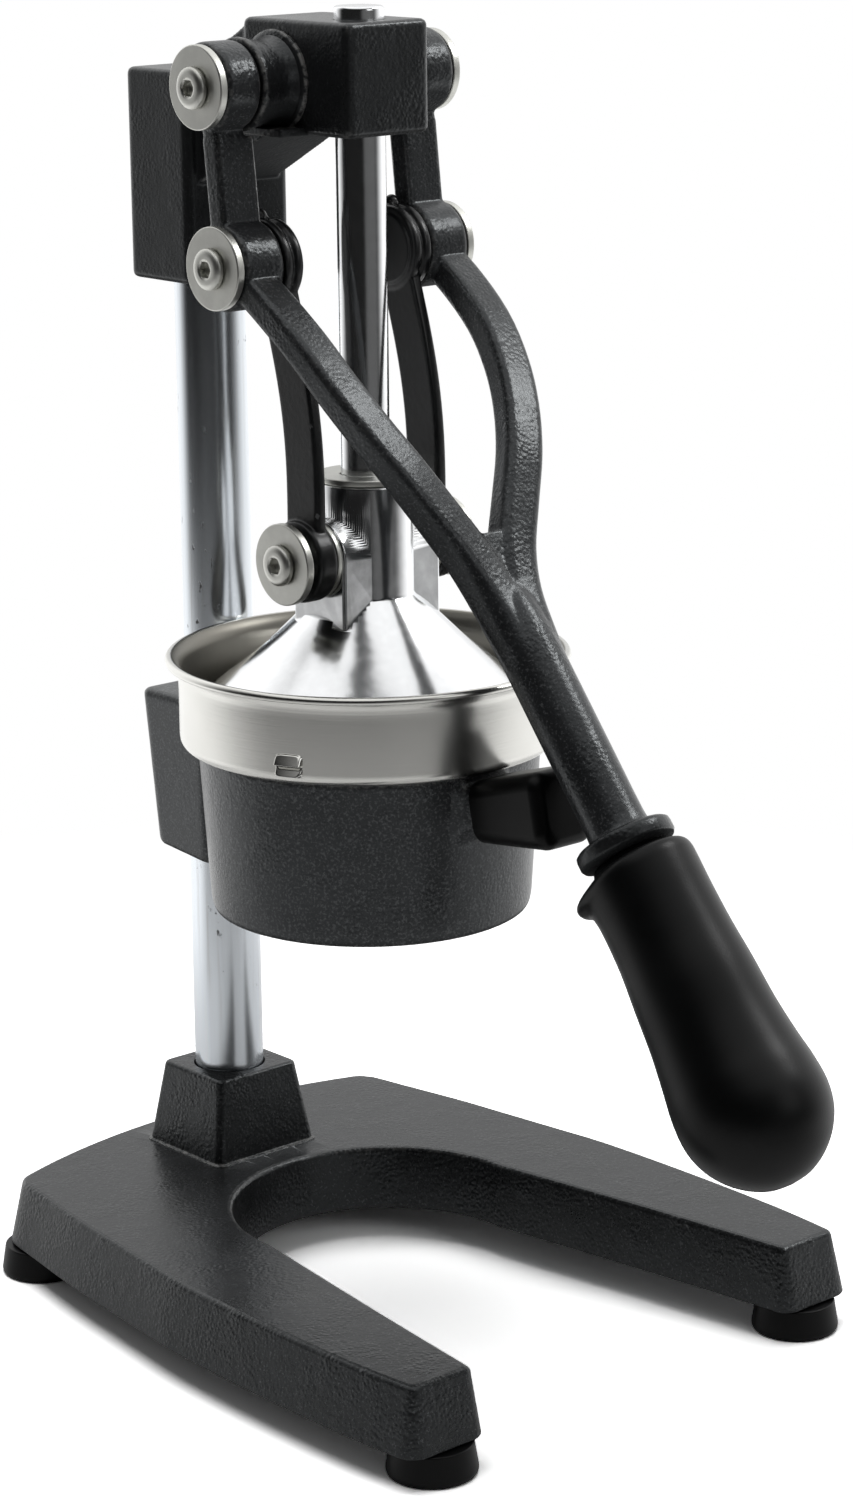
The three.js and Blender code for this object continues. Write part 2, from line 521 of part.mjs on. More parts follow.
const capRing = (y, d) => {
  const swell = CAP_FRONT_SWELL * (CAP_Y[1] - y) / (CAP_Y[1] - CAP_Y[0]);
  return rounded(CAP_HALF[0] - d, CAP_HALF[1] + swell - d, 3 - Math.min(d, 2), 0)
    .map(([x, v]) => [x, y, v + CAP_MID_Z]);
};
place('bumper_cap', tip(cut(
  loft([capRing(CAP_Y[0], 2), capRing(CAP_Y[0] + 0.6, 0.8), capRing(CAP_Y[0] + 2, 0),
    capRing(CAP_Y[1] - 0.6, 0), capRing(CAP_Y[1], 0.6)]),
  block(-STUB_HALF_X - GAP, STUB_HALF_X + GAP, CAP_Y[0] + CAP_WALL, CAP_Y[1] + 2,
    CAP_MID_Z - STUB_HALF_Z - GAP, CAP_MID_Z + STUB_HALF_Z + GAP, 1.5))), finish.rubber);

// ---------------------------------------------------------------- funnel and strainer
// Sheet metal: a line of [radius, height] given a thickness. The bowl, the cone under its
// shoulder and the spout are pressed apart and welded to each other.
function sheetRing(line, thickness, segments) {
  const side = (k) => line.map(([r, z], i) => {
    const [ar, az] = line[Math.max(i - 1, 0)], [br, bz] = line[Math.min(i + 1, line.length - 1)];
    const length = Math.hypot(br - ar, bz - az);
    return [Math.max(r - k * (bz - az) / length * thickness / 2, 0),
      z + k * (br - ar) / length * thickness / 2];
  });
  return turned([...side(1), ...side(-1).reverse()], segments);
}
const half = SHEET / 2;
const seatZ = CUP_RIM_Z + GAP + half;
const seatInR = CUP_R[1] - CUP_WALL - SEAT_LAP;
const onShoulder = (t) => [seatInR - SHOULDER[0] * t, seatZ - SHOULDER[1] * t];
const SEAM = 0.35;                   // how far down the shoulder the bowl ends
place('juice_funnel', sheetRing([
  [LIP_R - half, LIP_Z - 1.8], [LIP_R - half - 0.7, LIP_Z - half],
  [LIP_R - 2.2, LIP_Z - half], [BAND_R - half, LIP_Z - 4.6],
  [BAND_R - half, seatZ + 2.2], [BAND_R - half - 2.2, seatZ],
  onShoulder(0), onShoulder(SEAM)], SHEET, RING), finish.satin);
const seamGap = GAP / Math.hypot(...SHOULDER);
place('funnel_cone', sheetRing([onShoulder(SEAM + seamGap), onShoulder(1),
  [SPOUT_R + half, SPOUT_MOUTH_Z]], SHEET, RING), finish.satin);
place('funnel_spout', sheetRing([[SPOUT_R + half, SPOUT_MOUTH_Z - half - GAP],
  [SPOUT_R - half, SPOUT_Z]], SHEET, RING), finish.satin);

const flangeZ = seatZ + SHEET + GAP;
const flangeR = BAND_R - SHEET - 1.5;
const dome = [[flangeR - 1, flangeZ], [46.6, flangeZ], [43.6, 185.4],
  [32, 195], [17, 205], [8.5, 209], [0, DOME_TOP_Z]];
const strainerShell = (() => {
  const side = (k) => dome.map(([r, z], i) => {
    const [ar, az] = dome[Math.max(i - 1, 0)], [br, bz] = dome[Math.min(i + 1, dome.length - 1)];
    const length = Math.hypot(br - ar, bz - az);
    return [i === dome.length - 1 ? 0 : r - k * (bz - az) / length * half,
      z + k * (br - ar) / length * half];
  });
  return turned([...side(-1).reverse(), ...side(1)], ROUND + 4);
})();
const slots = [];
SLOTS.forEach(([count, radius, length]) => {
  for (let i = 0; i < count; i++) {
    const a = 360 * (i + 0.5) / count;
    slots.push(block(radius - length / 2, radius + length / 2, -SLOT_W / 2, SLOT_W / 2, 183, 215)
      .rotate([0, 0, a]));
  }
});
place('strainer', cut(strainerShell, join(...slots)), finish.satin);

// ---------------------------------------------------------------- plunger
const ROD_BOTTOM_Z = CONE_SEAT_Z + 1.4;
const lowAt = [0, ...PIVOT_LOW];
const coneInside = [[0, CONE_CEILING_Z], [11, CONE_CEILING_Z], [20, 212.6], [44.6, 191.4],
  [47, 188.6], [47.8, 186.4]];
const coneBody = turned([...coneInside, [49.6, 186.4], [50.4, 188], [50.2, 190.6], [48.8, 193.4], [44.9, 196.9],
  [40, 200.5], [30, 208.9], [20, 218.6], [NECK_R + 1.6, 222.6], [NECK_R, CONE_SEAT_Z], [NECK_R, NECK_TOP_Z - 0.8],
  [NECK_R - 0.8, NECK_TOP_Z], [0, NECK_TOP_Z]], RING);
const lugs = join(
  rod(LUG_R, -LUG_X + 0.8, LUG_X - 0.8, ROUND, 'x', lowAt),
  rod(LUG_R - 0.8, -LUG_X, LUG_X, ROUND, 'x', lowAt),
  loft([216, PIVOT_LOW[1]].map((z) =>
    rounded(LUG_X - 0.8, LUG_R, 0.8, z))));
const coneVoid = turned([...coneInside, [47.8, 180], [0, 180]], RING);
place('press_cone', cut(
  join(coneBody, cut(lugs, coneVoid)),
  rod(ROD_R + BORE_CLEARANCE, ROD_BOTTOM_Z - GAP, NECK_TOP_Z + 1, ROUND),
  rod(CONE_BOLT_R + BORE_CLEARANCE, CONE_CEILING_Z - 1, ROD_BOTTOM_Z + 1, TINY),
  rod(boltBore, LUG_X - LUG_THREAD - GAP, LUG_X + 1, SMALL, 'x', lowAt),
  rod(boltBore, -LUG_X - 1, -LUG_X + LUG_THREAD + GAP, SMALL, 'x', lowAt)), finish.chrome);

place('press_rod', cut(
  turned([[0, ROD_BOTTOM_Z], [ROD_R - 0.6, ROD_BOTTOM_Z], [ROD_R, ROD_BOTTOM_Z + 0.6],
    [ROD_R, ROD_TOP_Z - 1.2], [ROD_R - 1.4, ROD_TOP_Z], [0, ROD_TOP_Z]], ROUND),
  rod(CONE_BOLT_R + BORE_CLEARANCE, ROD_BOTTOM_Z - 1, ROD_BOTTOM_Z + 20, TINY)), finish.chrome);
place('rod_flange', tube(GUIDE_R, FLANGE_R, NECK_TOP_Z + GAP, NECK_TOP_Z + GAP + FLANGE_T, RING),
  finish.nickel);
const coneBoltSeat = CONE_CEILING_Z - GAP - WASHER_T;
place('cone_bolt_washer', tube(CONE_BOLT_R + BORE_CLEARANCE, CONE_BOLT_HEAD_R + 2, coneBoltSeat,
  coneBoltSeat + WASHER_T, SMALL), finish.nickel);
place('cone_bolt', join(
  rod(CONE_BOLT_HEAD_R, coneBoltSeat - GAP - CONE_BOLT_HEAD_H, coneBoltSeat - GAP, 6),
  rod(CONE_BOLT_R, coneBoltSeat - GAP - 1, ROD_BOTTOM_Z + 18, TINY)), finish.nickel);

// ---------------------------------------------------------------- pivots
// A button-head bolt along +X: shank from `from`, head seated at `seat`.
function pivotBolt(from, seat, at) {
  const hexDepth = 1.7;
  return cut(
    turned([[0, from], [PIVOT_BOLT_R, from], [PIVOT_BOLT_R, seat], [PIVOT_HEAD_R, seat],
      [PIVOT_HEAD_R, seat + 1], [PIVOT_HEAD_R - 1.6, seat + PIVOT_HEAD_H],
      [0, seat + PIVOT_HEAD_H]], SMALL, 'x', at),
    rod(HEX_R, seat + PIVOT_HEAD_H - hexDepth, seat + PIVOT_HEAD_H + 1, 6, 'x', at));
}
const pivotWasher = (x, at) => turned([
  [PIVOT_BOLT_R + BORE_CLEARANCE, x], [PIVOT_WASHER_R, x],
  [PIVOT_WASHER_R, x + PIVOT_WASHER_T - 0.4], [PIVOT_WASHER_R - 0.4, x + PIVOT_WASHER_T],
  [PIVOT_BOLT_R + BORE_CLEARANCE, x + PIVOT_WASHER_T]], ROUND, 'x', at);
const midAt = [0, ...PIVOT_MID];
const leverWasherX = LEVER_OUT_X + GAP;
const lowWasherX = LINK_FOOT_X[1] + GAP + 2 + GAP;
SIDES.forEach(([where, s]) => {
  const put = (name, solid, material) => place(`${name}_${where}`, s > 0 ? solid : mirror(solid),
    material);
  const seat = leverWasherX + PIVOT_WASHER_T + GAP;
  put('upper_pivot_bolt', pivotBolt(BOSS_END_X - BOLT_THREAD, seat, topAt), finish.nickel);
  put('upper_pivot_washer', pivotWasher(leverWasherX, topAt), finish.nickel);
  put('upper_pivot_bush', tube(boltBore, boltBore + BUSH_WALL, LEVER_IN_X + 0.2,
    LEVER_OUT_X - 0.2, SMALL, 'x', topAt), finish.bronze);
  put('middle_pivot_bolt', pivotBolt(BAR_IN_X + 0.3, seat, midAt), finish.nickel);
  put('middle_pivot_washer', pivotWasher(leverWasherX, midAt), finish.nickel);
  put('lower_pivot_bolt', pivotBolt(LUG_X - LUG_THREAD, lowWasherX + PIVOT_WASHER_T + GAP, lowAt),
    finish.nickel);
  put('lower_pivot_washer', pivotWasher(lowWasherX, lowAt), finish.nickel);
  put('lower_pivot_spacer', tube(boltBore, 8.4, LINK_FOOT_X[1] + GAP, lowWasherX - GAP, SMALL, 'x',
    lowAt), finish.nickel);
  put('lower_thrust_washer', tube(boltBore, 11.6, LUG_X + GAP, LINK_FOOT_X[0] - GAP, ROUND, 'x',
    lowAt), finish.nickel);
});

// ---------------------------------------------------------------- links
const linkLine = (t) => {
  const y = PIVOT_LOW[0] + (PIVOT_MID[0] - PIVOT_LOW[0]) * t;
  const z = PIVOT_LOW[1] + (PIVOT_MID[1] - PIVOT_LOW[1]) * t;
  return [y - LINK_LEAN - LINK_BULGE * Math.sin(Math.PI * t) ** 1.15, z];
};
const linkBar = (() => {
  const stations = Array.from({ length: 13 }, (_, i) => i / 12);
  const x = (LINK_X[0] + LINK_X[1]) / 2, t = (LINK_X[1] - LINK_X[0]) / 2;
  return loft(stations.map((u) => {
    const [y, z] = linkLine(u);
    const [ay, az] = linkLine(Math.max(u - 0.01, 0)), [by, bz] = linkLine(Math.min(u + 0.01, 1));
    const length = Math.hypot(by - ay, bz - az);
    const [ny, nz] = [(bz - az) / length, -(by - ay) / length];
    const w = LINK_HALF_W, c = 1.1;
    return [[-t, -w + c], [-t + c, -w], [t - c, -w], [t, -w + c], [t, w - c], [t - c, w],
      [-t + c, w], [-t, w - c]].map(([dx, dw]) => [x + dx, y + ny * dw, z + nz * dw]);
  }));
})();
const bushR = boltBore + BUSH_WALL;
const linkSolid = cut(
  join(linkBar,
    rod(EYE_R, ...LINK_EYE_X, ROUND, 'x', midAt),
    rod(EYE_R - 0.6, ...LINK_FOOT_X, ROUND, 'x', lowAt)),
  rod(bushR + GAP, LINK_EYE_X[0] - 1, LINK_EYE_X[1] + 1, SMALL, 'x', midAt),
  rod(boltBore, LINK_FOOT_X[0] - 1, LINK_FOOT_X[1] + 1, SMALL, 'x', lowAt));
SIDES.forEach(([where, s]) => {
  place(`link_${where}`, s > 0 ? linkSolid : mirror(linkSolid), finish.paint);
  const bush = tube(boltBore, bushR, LINK_EYE_X[0] + 0.2, LINK_EYE_X[1] - 0.2, SMALL, 'x', midAt);
  place(`link_bush_${where}`, s > 0 ? bush : mirror(bush), finish.bronze);
});

// ---------------------------------------------------------------- lever
const DOWN = (() => {
  const l = Math.hypot(0.624, 0.781);
  return [-0.624 / l, -0.781 / l];
})();
const RISE = [DOWN[1], -DOWN[0]];
const onLever = (s, x, off) => [x, PIVOT_MID[0] + s * DOWN[0] + off * RISE[0],
  PIVOT_MID[1] + s * DOWN[1] + off * RISE[1]];

const yokeArm = (() => {
  const path = YOKE.map(([s, x, off]) => V(...onLever(s, x, off)));
  const up = V(0, ...RISE);
  return loft(path.map((p, i) => {
    const t = path[Math.min(i + 1, path.length - 1)].clone().sub(path[Math.max(i - 1, 0)])
      .normalize();
    const wide = t.clone().cross(up).normalize();
    const thick = wide.clone().cross(t).normalize();
    const [w, h, c] = [YOKE_HALF_W, YOKE_HALF_T, 1.9];
    return [[-w, -h + c], [-w + c, -h], [w - c, -h], [w, -h + c], [w, h - c], [w - c, h],
      [-w + c, h], [-w, h - c]].map(([a, b]) =>
      p.clone().addScaledVector(wide, a).addScaledVector(thick, b).toArray());
  }));
})();
const upperBar = (() => {
  const dy = PIVOT_MID[0] - PIVOT_TOP[0], dz = PIVOT_MID[1] - PIVOT_TOP[1];
  const l = Math.hypot(dy, dz);
  const [ny, nz] = [dz / l * BAR_HALF_T, -dy / l * BAR_HALF_T];
  const c = 1.2;
  const [x0, x1] = [BAR_IN_X, LEVER_OUT_X - 0.4];
  const toBar = (BOSS_R + 1.2) / l;      // the inner flank starts below the head boss
  const start = [PIVOT_TOP[0] + dy * toBar, PIVOT_TOP[1] + dz * toBar];
  const neck = loft([PIVOT_TOP, PIVOT_MID].map(([y, z]) =>
    [[LEVER_IN_X + 0.4, -1], [x1, -1], [x1, 1], [LEVER_IN_X + 0.4, 1]]
      .map(([x, k]) => [x, y + ny * 0.9 * k, z + nz * 0.9 * k])));
  const bar = loft([start, PIVOT_MID].map(([y, z]) =>
    [[x0, -0.7], [x0 + c, -1], [x1 - c, -1], [x1, -0.7], [x1, 0.7],
      [x1 - c, 1], [x0 + c, 1], [x0, 0.7]].map(([x, k]) => [x, y + ny * k, z + nz * k])));
  return join(neck, bar);
})();
const eye = (at, inner) => turned([[0, inner], [EYE_R - 0.8, inner], [EYE_R, inner + 0.8],
  [EYE_R, LEVER_OUT_X - 0.8], [EYE_R - 0.8, LEVER_OUT_X], [0, LEVER_OUT_X]], ROUND, 'x', at);
const arm = join(eye(topAt, LEVER_IN_X), eye(midAt, BAR_IN_X), upperBar, yokeArm);

// Round sections along the lever's line; slant tips a ring so its underside runs further down.
const shaftRing = (s, r, slant = 0, segments = SMALL, stop = 0, drop = 0) =>
  Array.from({ length: segments }, (_, i) => {
    const a = 2 * Math.PI * i / segments;
    const out = r + stop * Math.max(0, -Math.sin(a)) ** 2;
    return onLever(s - slant * out * Math.sin(a), out * Math.cos(a), out * Math.sin(a) - drop);
  });
const shaft = loft([[SHAFT_FROM, 5], [SHAFT_FROM + 3, 7.6], [SHAFT_FROM + 10, 8.8],
  [SHAFT_FROM + 20, SHAFT_R], [COLLAR_AT - 1.5, SHAFT_R], [COLLAR_AT + 1, SHAFT_R + 1.6]]
  .map(([s, r]) => shaftRing(s, r)));
const collar = loft([[COLLAR_AT, COLLAR_R - 1.6], [COLLAR_AT + 1.4, COLLAR_R],
  [COLLAR_AT + COLLAR_T - 1.6, COLLAR_R], [COLLAR_AT + COLLAR_T, COLLAR_R - 1.8]]
  .map(([s, r]) => shaftRing(s, r, 0, ROUND)));
const tangFrom = COLLAR_AT + COLLAR_T - 1;
const tang = loft([[tangFrom, TANG_R], [tangFrom + TANG_LENGTH - 2, TANG_R],
  [tangFrom + TANG_LENGTH, TANG_R - 1.5]].map(([s, r]) => shaftRing(s, r, 0, TINY)));
const mouth = COLLAR_AT + COLLAR_T + GAP;
place('lever_casting', cut(
  join(arm, mirror(arm), shaft, collar, tang),
  ...SIDES.flatMap(([, s]) => {
    const bores = [
      rod(bushR + GAP, LEVER_IN_X - 1, LEVER_OUT_X + 1, SMALL, 'x', topAt),
      rod(boltBore, BAR_IN_X - 1, LEVER_OUT_X + 1, SMALL, 'x', midAt)];
    return s > 0 ? bores : bores.map(mirror);
  })), finish.casting);

place('hand_grip', cut(
  loft([shaftRing(mouth, GRIP[0][1] - 0.8, 0, 20), ...GRIP.map(([s, r, slant, stop, drop]) =>
    shaftRing(s, r, slant, 20, stop, drop))]),
  loft([[mouth - 5, TANG_R + GAP], [tangFrom + TANG_LENGTH + GAP, TANG_R + GAP]]
    .map(([s, r]) => shaftRing(s, r, 0, TINY)))), finish.grip);

export default press;
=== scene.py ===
"""Hand-lever citrus press: smooth castings, turned and plated parts, and their finishes."""
import json
import math
from functools import cache

import bmesh
import bpy
import numpy as np
from bpy.props import FloatProperty, FloatVectorProperty, PointerProperty
from mathutils import Matrix, Vector

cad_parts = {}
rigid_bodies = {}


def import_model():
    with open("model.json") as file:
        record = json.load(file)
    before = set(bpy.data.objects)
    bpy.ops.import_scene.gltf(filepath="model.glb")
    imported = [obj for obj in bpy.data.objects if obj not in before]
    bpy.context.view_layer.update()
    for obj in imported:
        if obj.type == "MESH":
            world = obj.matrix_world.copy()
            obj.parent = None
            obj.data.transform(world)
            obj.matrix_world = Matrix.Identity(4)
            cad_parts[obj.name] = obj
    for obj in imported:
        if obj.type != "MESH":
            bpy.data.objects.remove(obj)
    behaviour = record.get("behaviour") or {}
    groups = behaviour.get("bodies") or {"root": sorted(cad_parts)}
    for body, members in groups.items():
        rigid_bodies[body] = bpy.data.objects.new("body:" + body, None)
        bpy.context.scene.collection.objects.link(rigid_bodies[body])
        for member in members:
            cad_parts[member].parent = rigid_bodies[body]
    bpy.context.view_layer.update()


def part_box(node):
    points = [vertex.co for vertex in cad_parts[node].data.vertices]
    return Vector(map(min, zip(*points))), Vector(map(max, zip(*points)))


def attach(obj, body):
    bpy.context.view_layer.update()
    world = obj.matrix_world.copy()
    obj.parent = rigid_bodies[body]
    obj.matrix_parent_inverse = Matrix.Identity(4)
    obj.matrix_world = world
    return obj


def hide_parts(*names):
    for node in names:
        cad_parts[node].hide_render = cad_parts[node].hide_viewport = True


bl_info = {
    "name": "Citrus press",
    "version": (1, 0, 0),
    "blender": (4, 5, 0),
    "location": "View3D > Sidebar > Press",
    "description": "Builds a lever citrus press on its packed frame",
    "category": "Object",
}

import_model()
MM = 0.001
SIDES = (("left", -1), ("right", 1))


def box_mm(node):
    """Lowest and highest corner of a frame node, in millimetres."""
    low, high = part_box(node)
    return low / MM, high / MM


def centre(node):
    """The middle of a frame node's box, in millimetres."""
    return tuple((a + b) / 2 for a, b in zip(*box_mm(node)))


# ---------------------------------------------------------------- places read off the frame
POST_LOW, POST_HIGH = box_mm("post")
POST_R = (POST_HIGH.x - POST_LOW.x) / 2
POST_Y = centre("post")[1]
ROD_LOW, ROD_HIGH = box_mm("press_rod")
ROD_R = (ROD_HIGH.x - ROD_LOW.x) / 2
BASE_LOW, BASE_HIGH = box_mm("base_casting")
BASE_UNDER_Z, SOCKET_TOP_Z, BASE_TOP_Z = BASE_LOW.z, BASE_HIGH.z, 29.9
PIVOT_TOP = centre("upper_pivot_washer_left")[1:]       # (y, z) of the three pivot lines
PIVOT_MID = centre("middle_pivot_washer_left")[1:]
PIVOT_LOW = centre("lower_pivot_washer_left")[1:]
DOWN = Vector((0, -0.624, -0.781)).normalized()         # along the lever, towards the grip
RISE = Vector((0, DOWN.z, -DOWN.y))                     # square to it
EYE_R, LUG_R, RIM_R = 12.8, 11.8, 15.0                  # eyes, cone lugs, rims round the bosses
BORE_R, BUSH_R = 4.4, 6.5                               # holes for pivot bolts and their bushes
POST_BOLT_HOLE, CONE_BOLT_HOLE, SET_SCREW_HOLE, FOOT_SCREW_HOLE = 4.2, 2.7, 3.3, 2.3
FIT = 0.3                                               # play round the post and the rod


def sizes():
    """The sizes and powers that are set in the scene."""
    return bpy.context.scene.press_sizes


# ---------------------------------------------------------------- forms, in millimetres
class Form:
    """Points and faces of one closed shape, in millimetres."""

    def __init__(self, points, faces):
        self.points = np.array([tuple(p) for p in points], float)
        self.faces = [tuple(f) for f in faces]

    def mirrored(self):
        return Form(self.points * (-1, 1, 1), [f[::-1] for f in self.faces])

    def moved(self, by):
        return Form(self.points + np.array(by, float), self.faces)

    def mesh(self, name="form"):
        mesh = bpy.data.meshes.new(name)
        mesh.from_pydata((self.points * MM).tolist(), [], self.faces)
        work = bmesh.new()
        work.from_mesh(mesh)
        bmesh.ops.triangulate(work, faces=[f for f in work.faces if len(f.verts) > 4])
        work.to_mesh(mesh)
        work.free()
        return mesh


def spline(rows, per):
    """Rows of numbers joined by a smooth curve, `per` steps to a span."""
    rows = np.array(rows, float)
    first, last = 2 * rows[0] - rows[1], 2 * rows[-1] - rows[-2]
    p = np.vstack([first, rows, last])
    out = []
    for i in range(1, len(p) - 2):
        for k in range(per):
            t = k / per
            a, b, c, d = p[i - 1], p[i], p[i + 1], p[i + 2]
            out.append(0.5 * (2 * b + (c - a) * t + (2 * a - 5 * b + 4 * c - d) * t * t
                              + (3 * b - a - 3 * c + d) * t ** 3))
    out.append(rows[-1])
    return np.array(out)


def loft(rings):
    """A skin over rings of equally many points, capped at both ends."""
    n, count = len(rings[0]), len(rings)
    faces = []
    for a in range(0, (count - 1) * n, n):
        faces += [(a + j, a + (j + 1) % n, a + n + (j + 1) % n, a + n + j) for j in range(n)]
    faces += [tuple(range(n))[::-1], tuple(range((count - 1) * n, count * n))]
    return outward(Form([p for ring in rings for p in ring], faces))


def outward(form):
    """Turns the whole shape so its faces point out."""
    volume = 0.0
    for f in form.faces:
        o = form.points[f[0]]
        for j in range(1, len(f) - 1):
            volume += np.dot(o, np.cross(form.points[f[j]], form.points[f[j + 1]]))
    if volume < 0:
        form.faces = [f[::-1] for f in form.faces]
    return form


def soften(profile, radius, steps=3, closed=True):
    """A profile whose corners are rounded; radius is one number or one for each corner."""
    n = len(profile)
    radii = radius if isinstance(radius, (list, tuple)) else [radius] * n
    out = []
    for i, (p, r) in enumerate(zip(profile, radii)):
        p = Vector(p[:2])
        if r <= 0 or (not closed and i in (0, n - 1)):
            out.append(tuple(p))
            continue
        a, b = Vector(profile[i - 1][:2]) - p, Vector(profile[(i + 1) % n][:2]) - p
        la, lb = a.length, b.length
        if la < 1e-6 or lb < 1e-6:
            continue
        a, b = a / la, b / lb
        reach = min(r, la * 0.45, lb * 0.45)
        start, end = p + a * reach, p + b * reach
        for k in range(steps + 1):
            t = k / steps
            out.append(tuple(start * (1 - t) ** 2 + p * 2 * t * (1 - t) + end * t ** 2))
    return out


def turn(profile, sides=96, axis="z", at=(0, 0, 0)):
    """A closed profile of (radius, height) turned round an axis through `at`."""
    points, faces, index = [], [], []
    for r, h in profile:
        if r < 1e-6:
            index.append([len(points)])
            points.append((0, 0, h))
        else:
            index.append(list(range(len(points), len(points) + sides)))
            angles = [2 * math.pi * j / sides for j in range(sides)]
            points += [(r * math.cos(a), r * math.sin(a), h) for a in angles]
    n = len(profile)
    for i in range(n):
        a, b = index[i], index[(i + 1) % n]
        if len(a) == 1 and len(b) == 1:
            continue
        for j in range(sides):
            k = (j + 1) % sides
            if len(a) == 1:
                faces.append((a[0], b[k], b[j]))
            elif len(b) == 1:
                faces.append((a[j], a[k], b[0]))
            else:
                faces.append((a[j], a[k], b[k], b[j]))
    form = outward(Form(points, faces))
    if axis == "x":
        form.points = form.points[:, [2, 0, 1]]
    elif axis == "y":
        form.points = form.points[:, [1, 2, 0]]
    return form.moved(at)


def rod(radius, low, high, edge=0.0, axis="z", at=(0, 0, 0), sides=64):
    """A round bar from low to high, its rims rounded by edge."""
    return turn(soften([(0, low), (radius, low), (radius, high), (0, high)],
                       [0, edge, edge, 0]), sides, axis, at)


def tube(inner, outer, low, high, edge=0.3, axis="z", at=(0, 0, 0), sides=96):
    """A round bar with a bore."""
    return turn(soften([(inner, low), (outer, low), (outer, high), (inner, high)], edge),
                sides, axis, at)


def rounded(hx, hy, r, z, cx=0.0, cy=0.0, per=6):
    """A rounded rectangle as a level ring."""
    ring = []
    r = max(min(r, hx, hy), 0.01)
    for k, (sx, sy) in enumerate(((1, 1), (-1, 1), (-1, -1), (1, -1))):
        for i in range(per + 1):
            a = math.pi / 2 * (k + i / per)
            ring.append((cx + sx * (hx - r) + r * math.cos(a),
                         cy + sy * (hy - r) + r * math.sin(a), z))
    return ring


def edge_steps(size, steps=4):
    """(distance in from the end, inset) pairs of a quarter round."""
    angles = [math.pi / 2 * t / steps for t in range(steps, -1, -1)]
    return [(size * (1 - math.sin(a)), size * (1 - math.cos(a))) for a in angles]


def block(x, y, z, corner=2.0, edge=1.5):
    """A box with round upright corners and round upper and lower rims."""
    hx, hy, cx, cy = (x[1] - x[0]) / 2, (y[1] - y[0]) / 2, sum(x) / 2, sum(y) / 2
    steps = edge_steps(edge)
    rings = [rounded(hx - d, hy - d, corner - d / 2, z[0] + up, cx, cy) for up, d in steps]
    rings += [rounded(hx - d, hy - d, corner - d / 2, z[1] - up, cx, cy) for up, d in steps[::-1]]
    return loft(rings)


def slab(outline, x0, x1):
    """A (Y, Z) outline given a width along X."""
    return loft([[(x, y, z) for y, z in outline] for x in (x0, x1)])


def along(s, x, off):
    """A point on the lever: distance from the middle pivot, X, and rise off its line."""
    p = Vector((0, *PIVOT_MID)) + DOWN * s + RISE * off
    return (x, p.y, p.z)


def shaft_ring(s, r, slant=0.0, stop=0.0, drop=0.0, sides=64):
    """A ring round the lever's line: slant leans it, stop swells its underside, drop lowers it."""
    ring = []
    for i in range(sides):
        a = 2 * math.pi * i / sides
        out = r + stop * max(0.0, -math.sin(a)) ** 2
        ring.append(along(s - slant * out * math.sin(a), out * math.cos(a), out * math.sin(a) - drop))
    return ring


# ---------------------------------------------------------------- Blender helpers
def new_object(name, data):
    """An object in the scene that holds that data."""
    obj = bpy.data.objects.new(name, data)
    bpy.context.scene.collection.objects.link(obj)
    return obj


def settled(obj, name=None):
    """The evaluated object as a plain mesh object; the one with modifiers goes."""
    graph = bpy.context.evaluated_depsgraph_get()
    mesh = bpy.data.meshes.new_from_object(obj.evaluated_get(graph), depsgraph=graph)
    name = name or obj.name
    bpy.data.objects.remove(obj)
    mesh.name = name
    return new_object(name, mesh)


def carve(base, joins=(), cuts=()):
    """A form or object joined with others and then cut by others; the objects given are used up."""
    def as_object(item):
        return new_object("carving", item.mesh()) if isinstance(item, Form) else item
    obj, helpers = as_object(base), []
    for operation, items in (("UNION", joins), ("DIFFERENCE", cuts)):
        for item in items:
            helpers.append(as_object(item))
            modifier = obj.modifiers.new(operation, "BOOLEAN")
            modifier.operation, modifier.object, modifier.solver = operation, helpers[-1], "MANIFOLD"
    obj = settled(obj)
    for helper in helpers:
        bpy.data.objects.remove(helper)
    return obj


def cast(obj, name, grid, rounds):
    """Remeshes a carved shape evenly and rounds its edges, as a sand casting's are."""
    obj.name = name
    remesh = obj.modifiers.new("even", "REMESH")
    remesh.mode, remesh.voxel_size, remesh.use_smooth_shade = "VOXEL", grid * MM, True
    smooth = obj.modifiers.new("rounding", "SMOOTH")
    smooth.factor, smooth.iterations = 0.5, rounds
    return settled(obj, name)


def joined(name, *forms):
    """One object of forms that stay apart."""
    faces, at = [], 0
    for form in forms:
        faces += [tuple(i + at for i in f) for f in form.faces]
        at += len(form.points)
    return new_object(name, Form(np.vstack([form.points for form in forms]), faces).mesh(name))


def machined(obj):
    """Smooth shading that keeps flat faces flat."""
    obj.data.polygons.foreach_set("use_smooth", [True] * len(obj.data.polygons))
    weighted = obj.modifiers.new("flat faces", "WEIGHTED_NORMAL")
    weighted.weight, weighted.keep_sharp = 100, False
    return settled(obj)


def place(obj, body, slot, *nodes, look=None):
    """Gives a finished piece its finish and its body, and hides the frame nodes that it stands for."""
    obj.data.materials.clear()
    obj.data.materials.append(finish(look or slot))
    obj.data.polygons.foreach_set("material_index", [0] * len(obj.data.polygons))
    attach(obj, body)
    if nodes:
        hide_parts(*nodes)
    return obj


def shade(colour, factor):
    """A colour made darker or lighter."""
    return tuple(c * factor for c in colour)


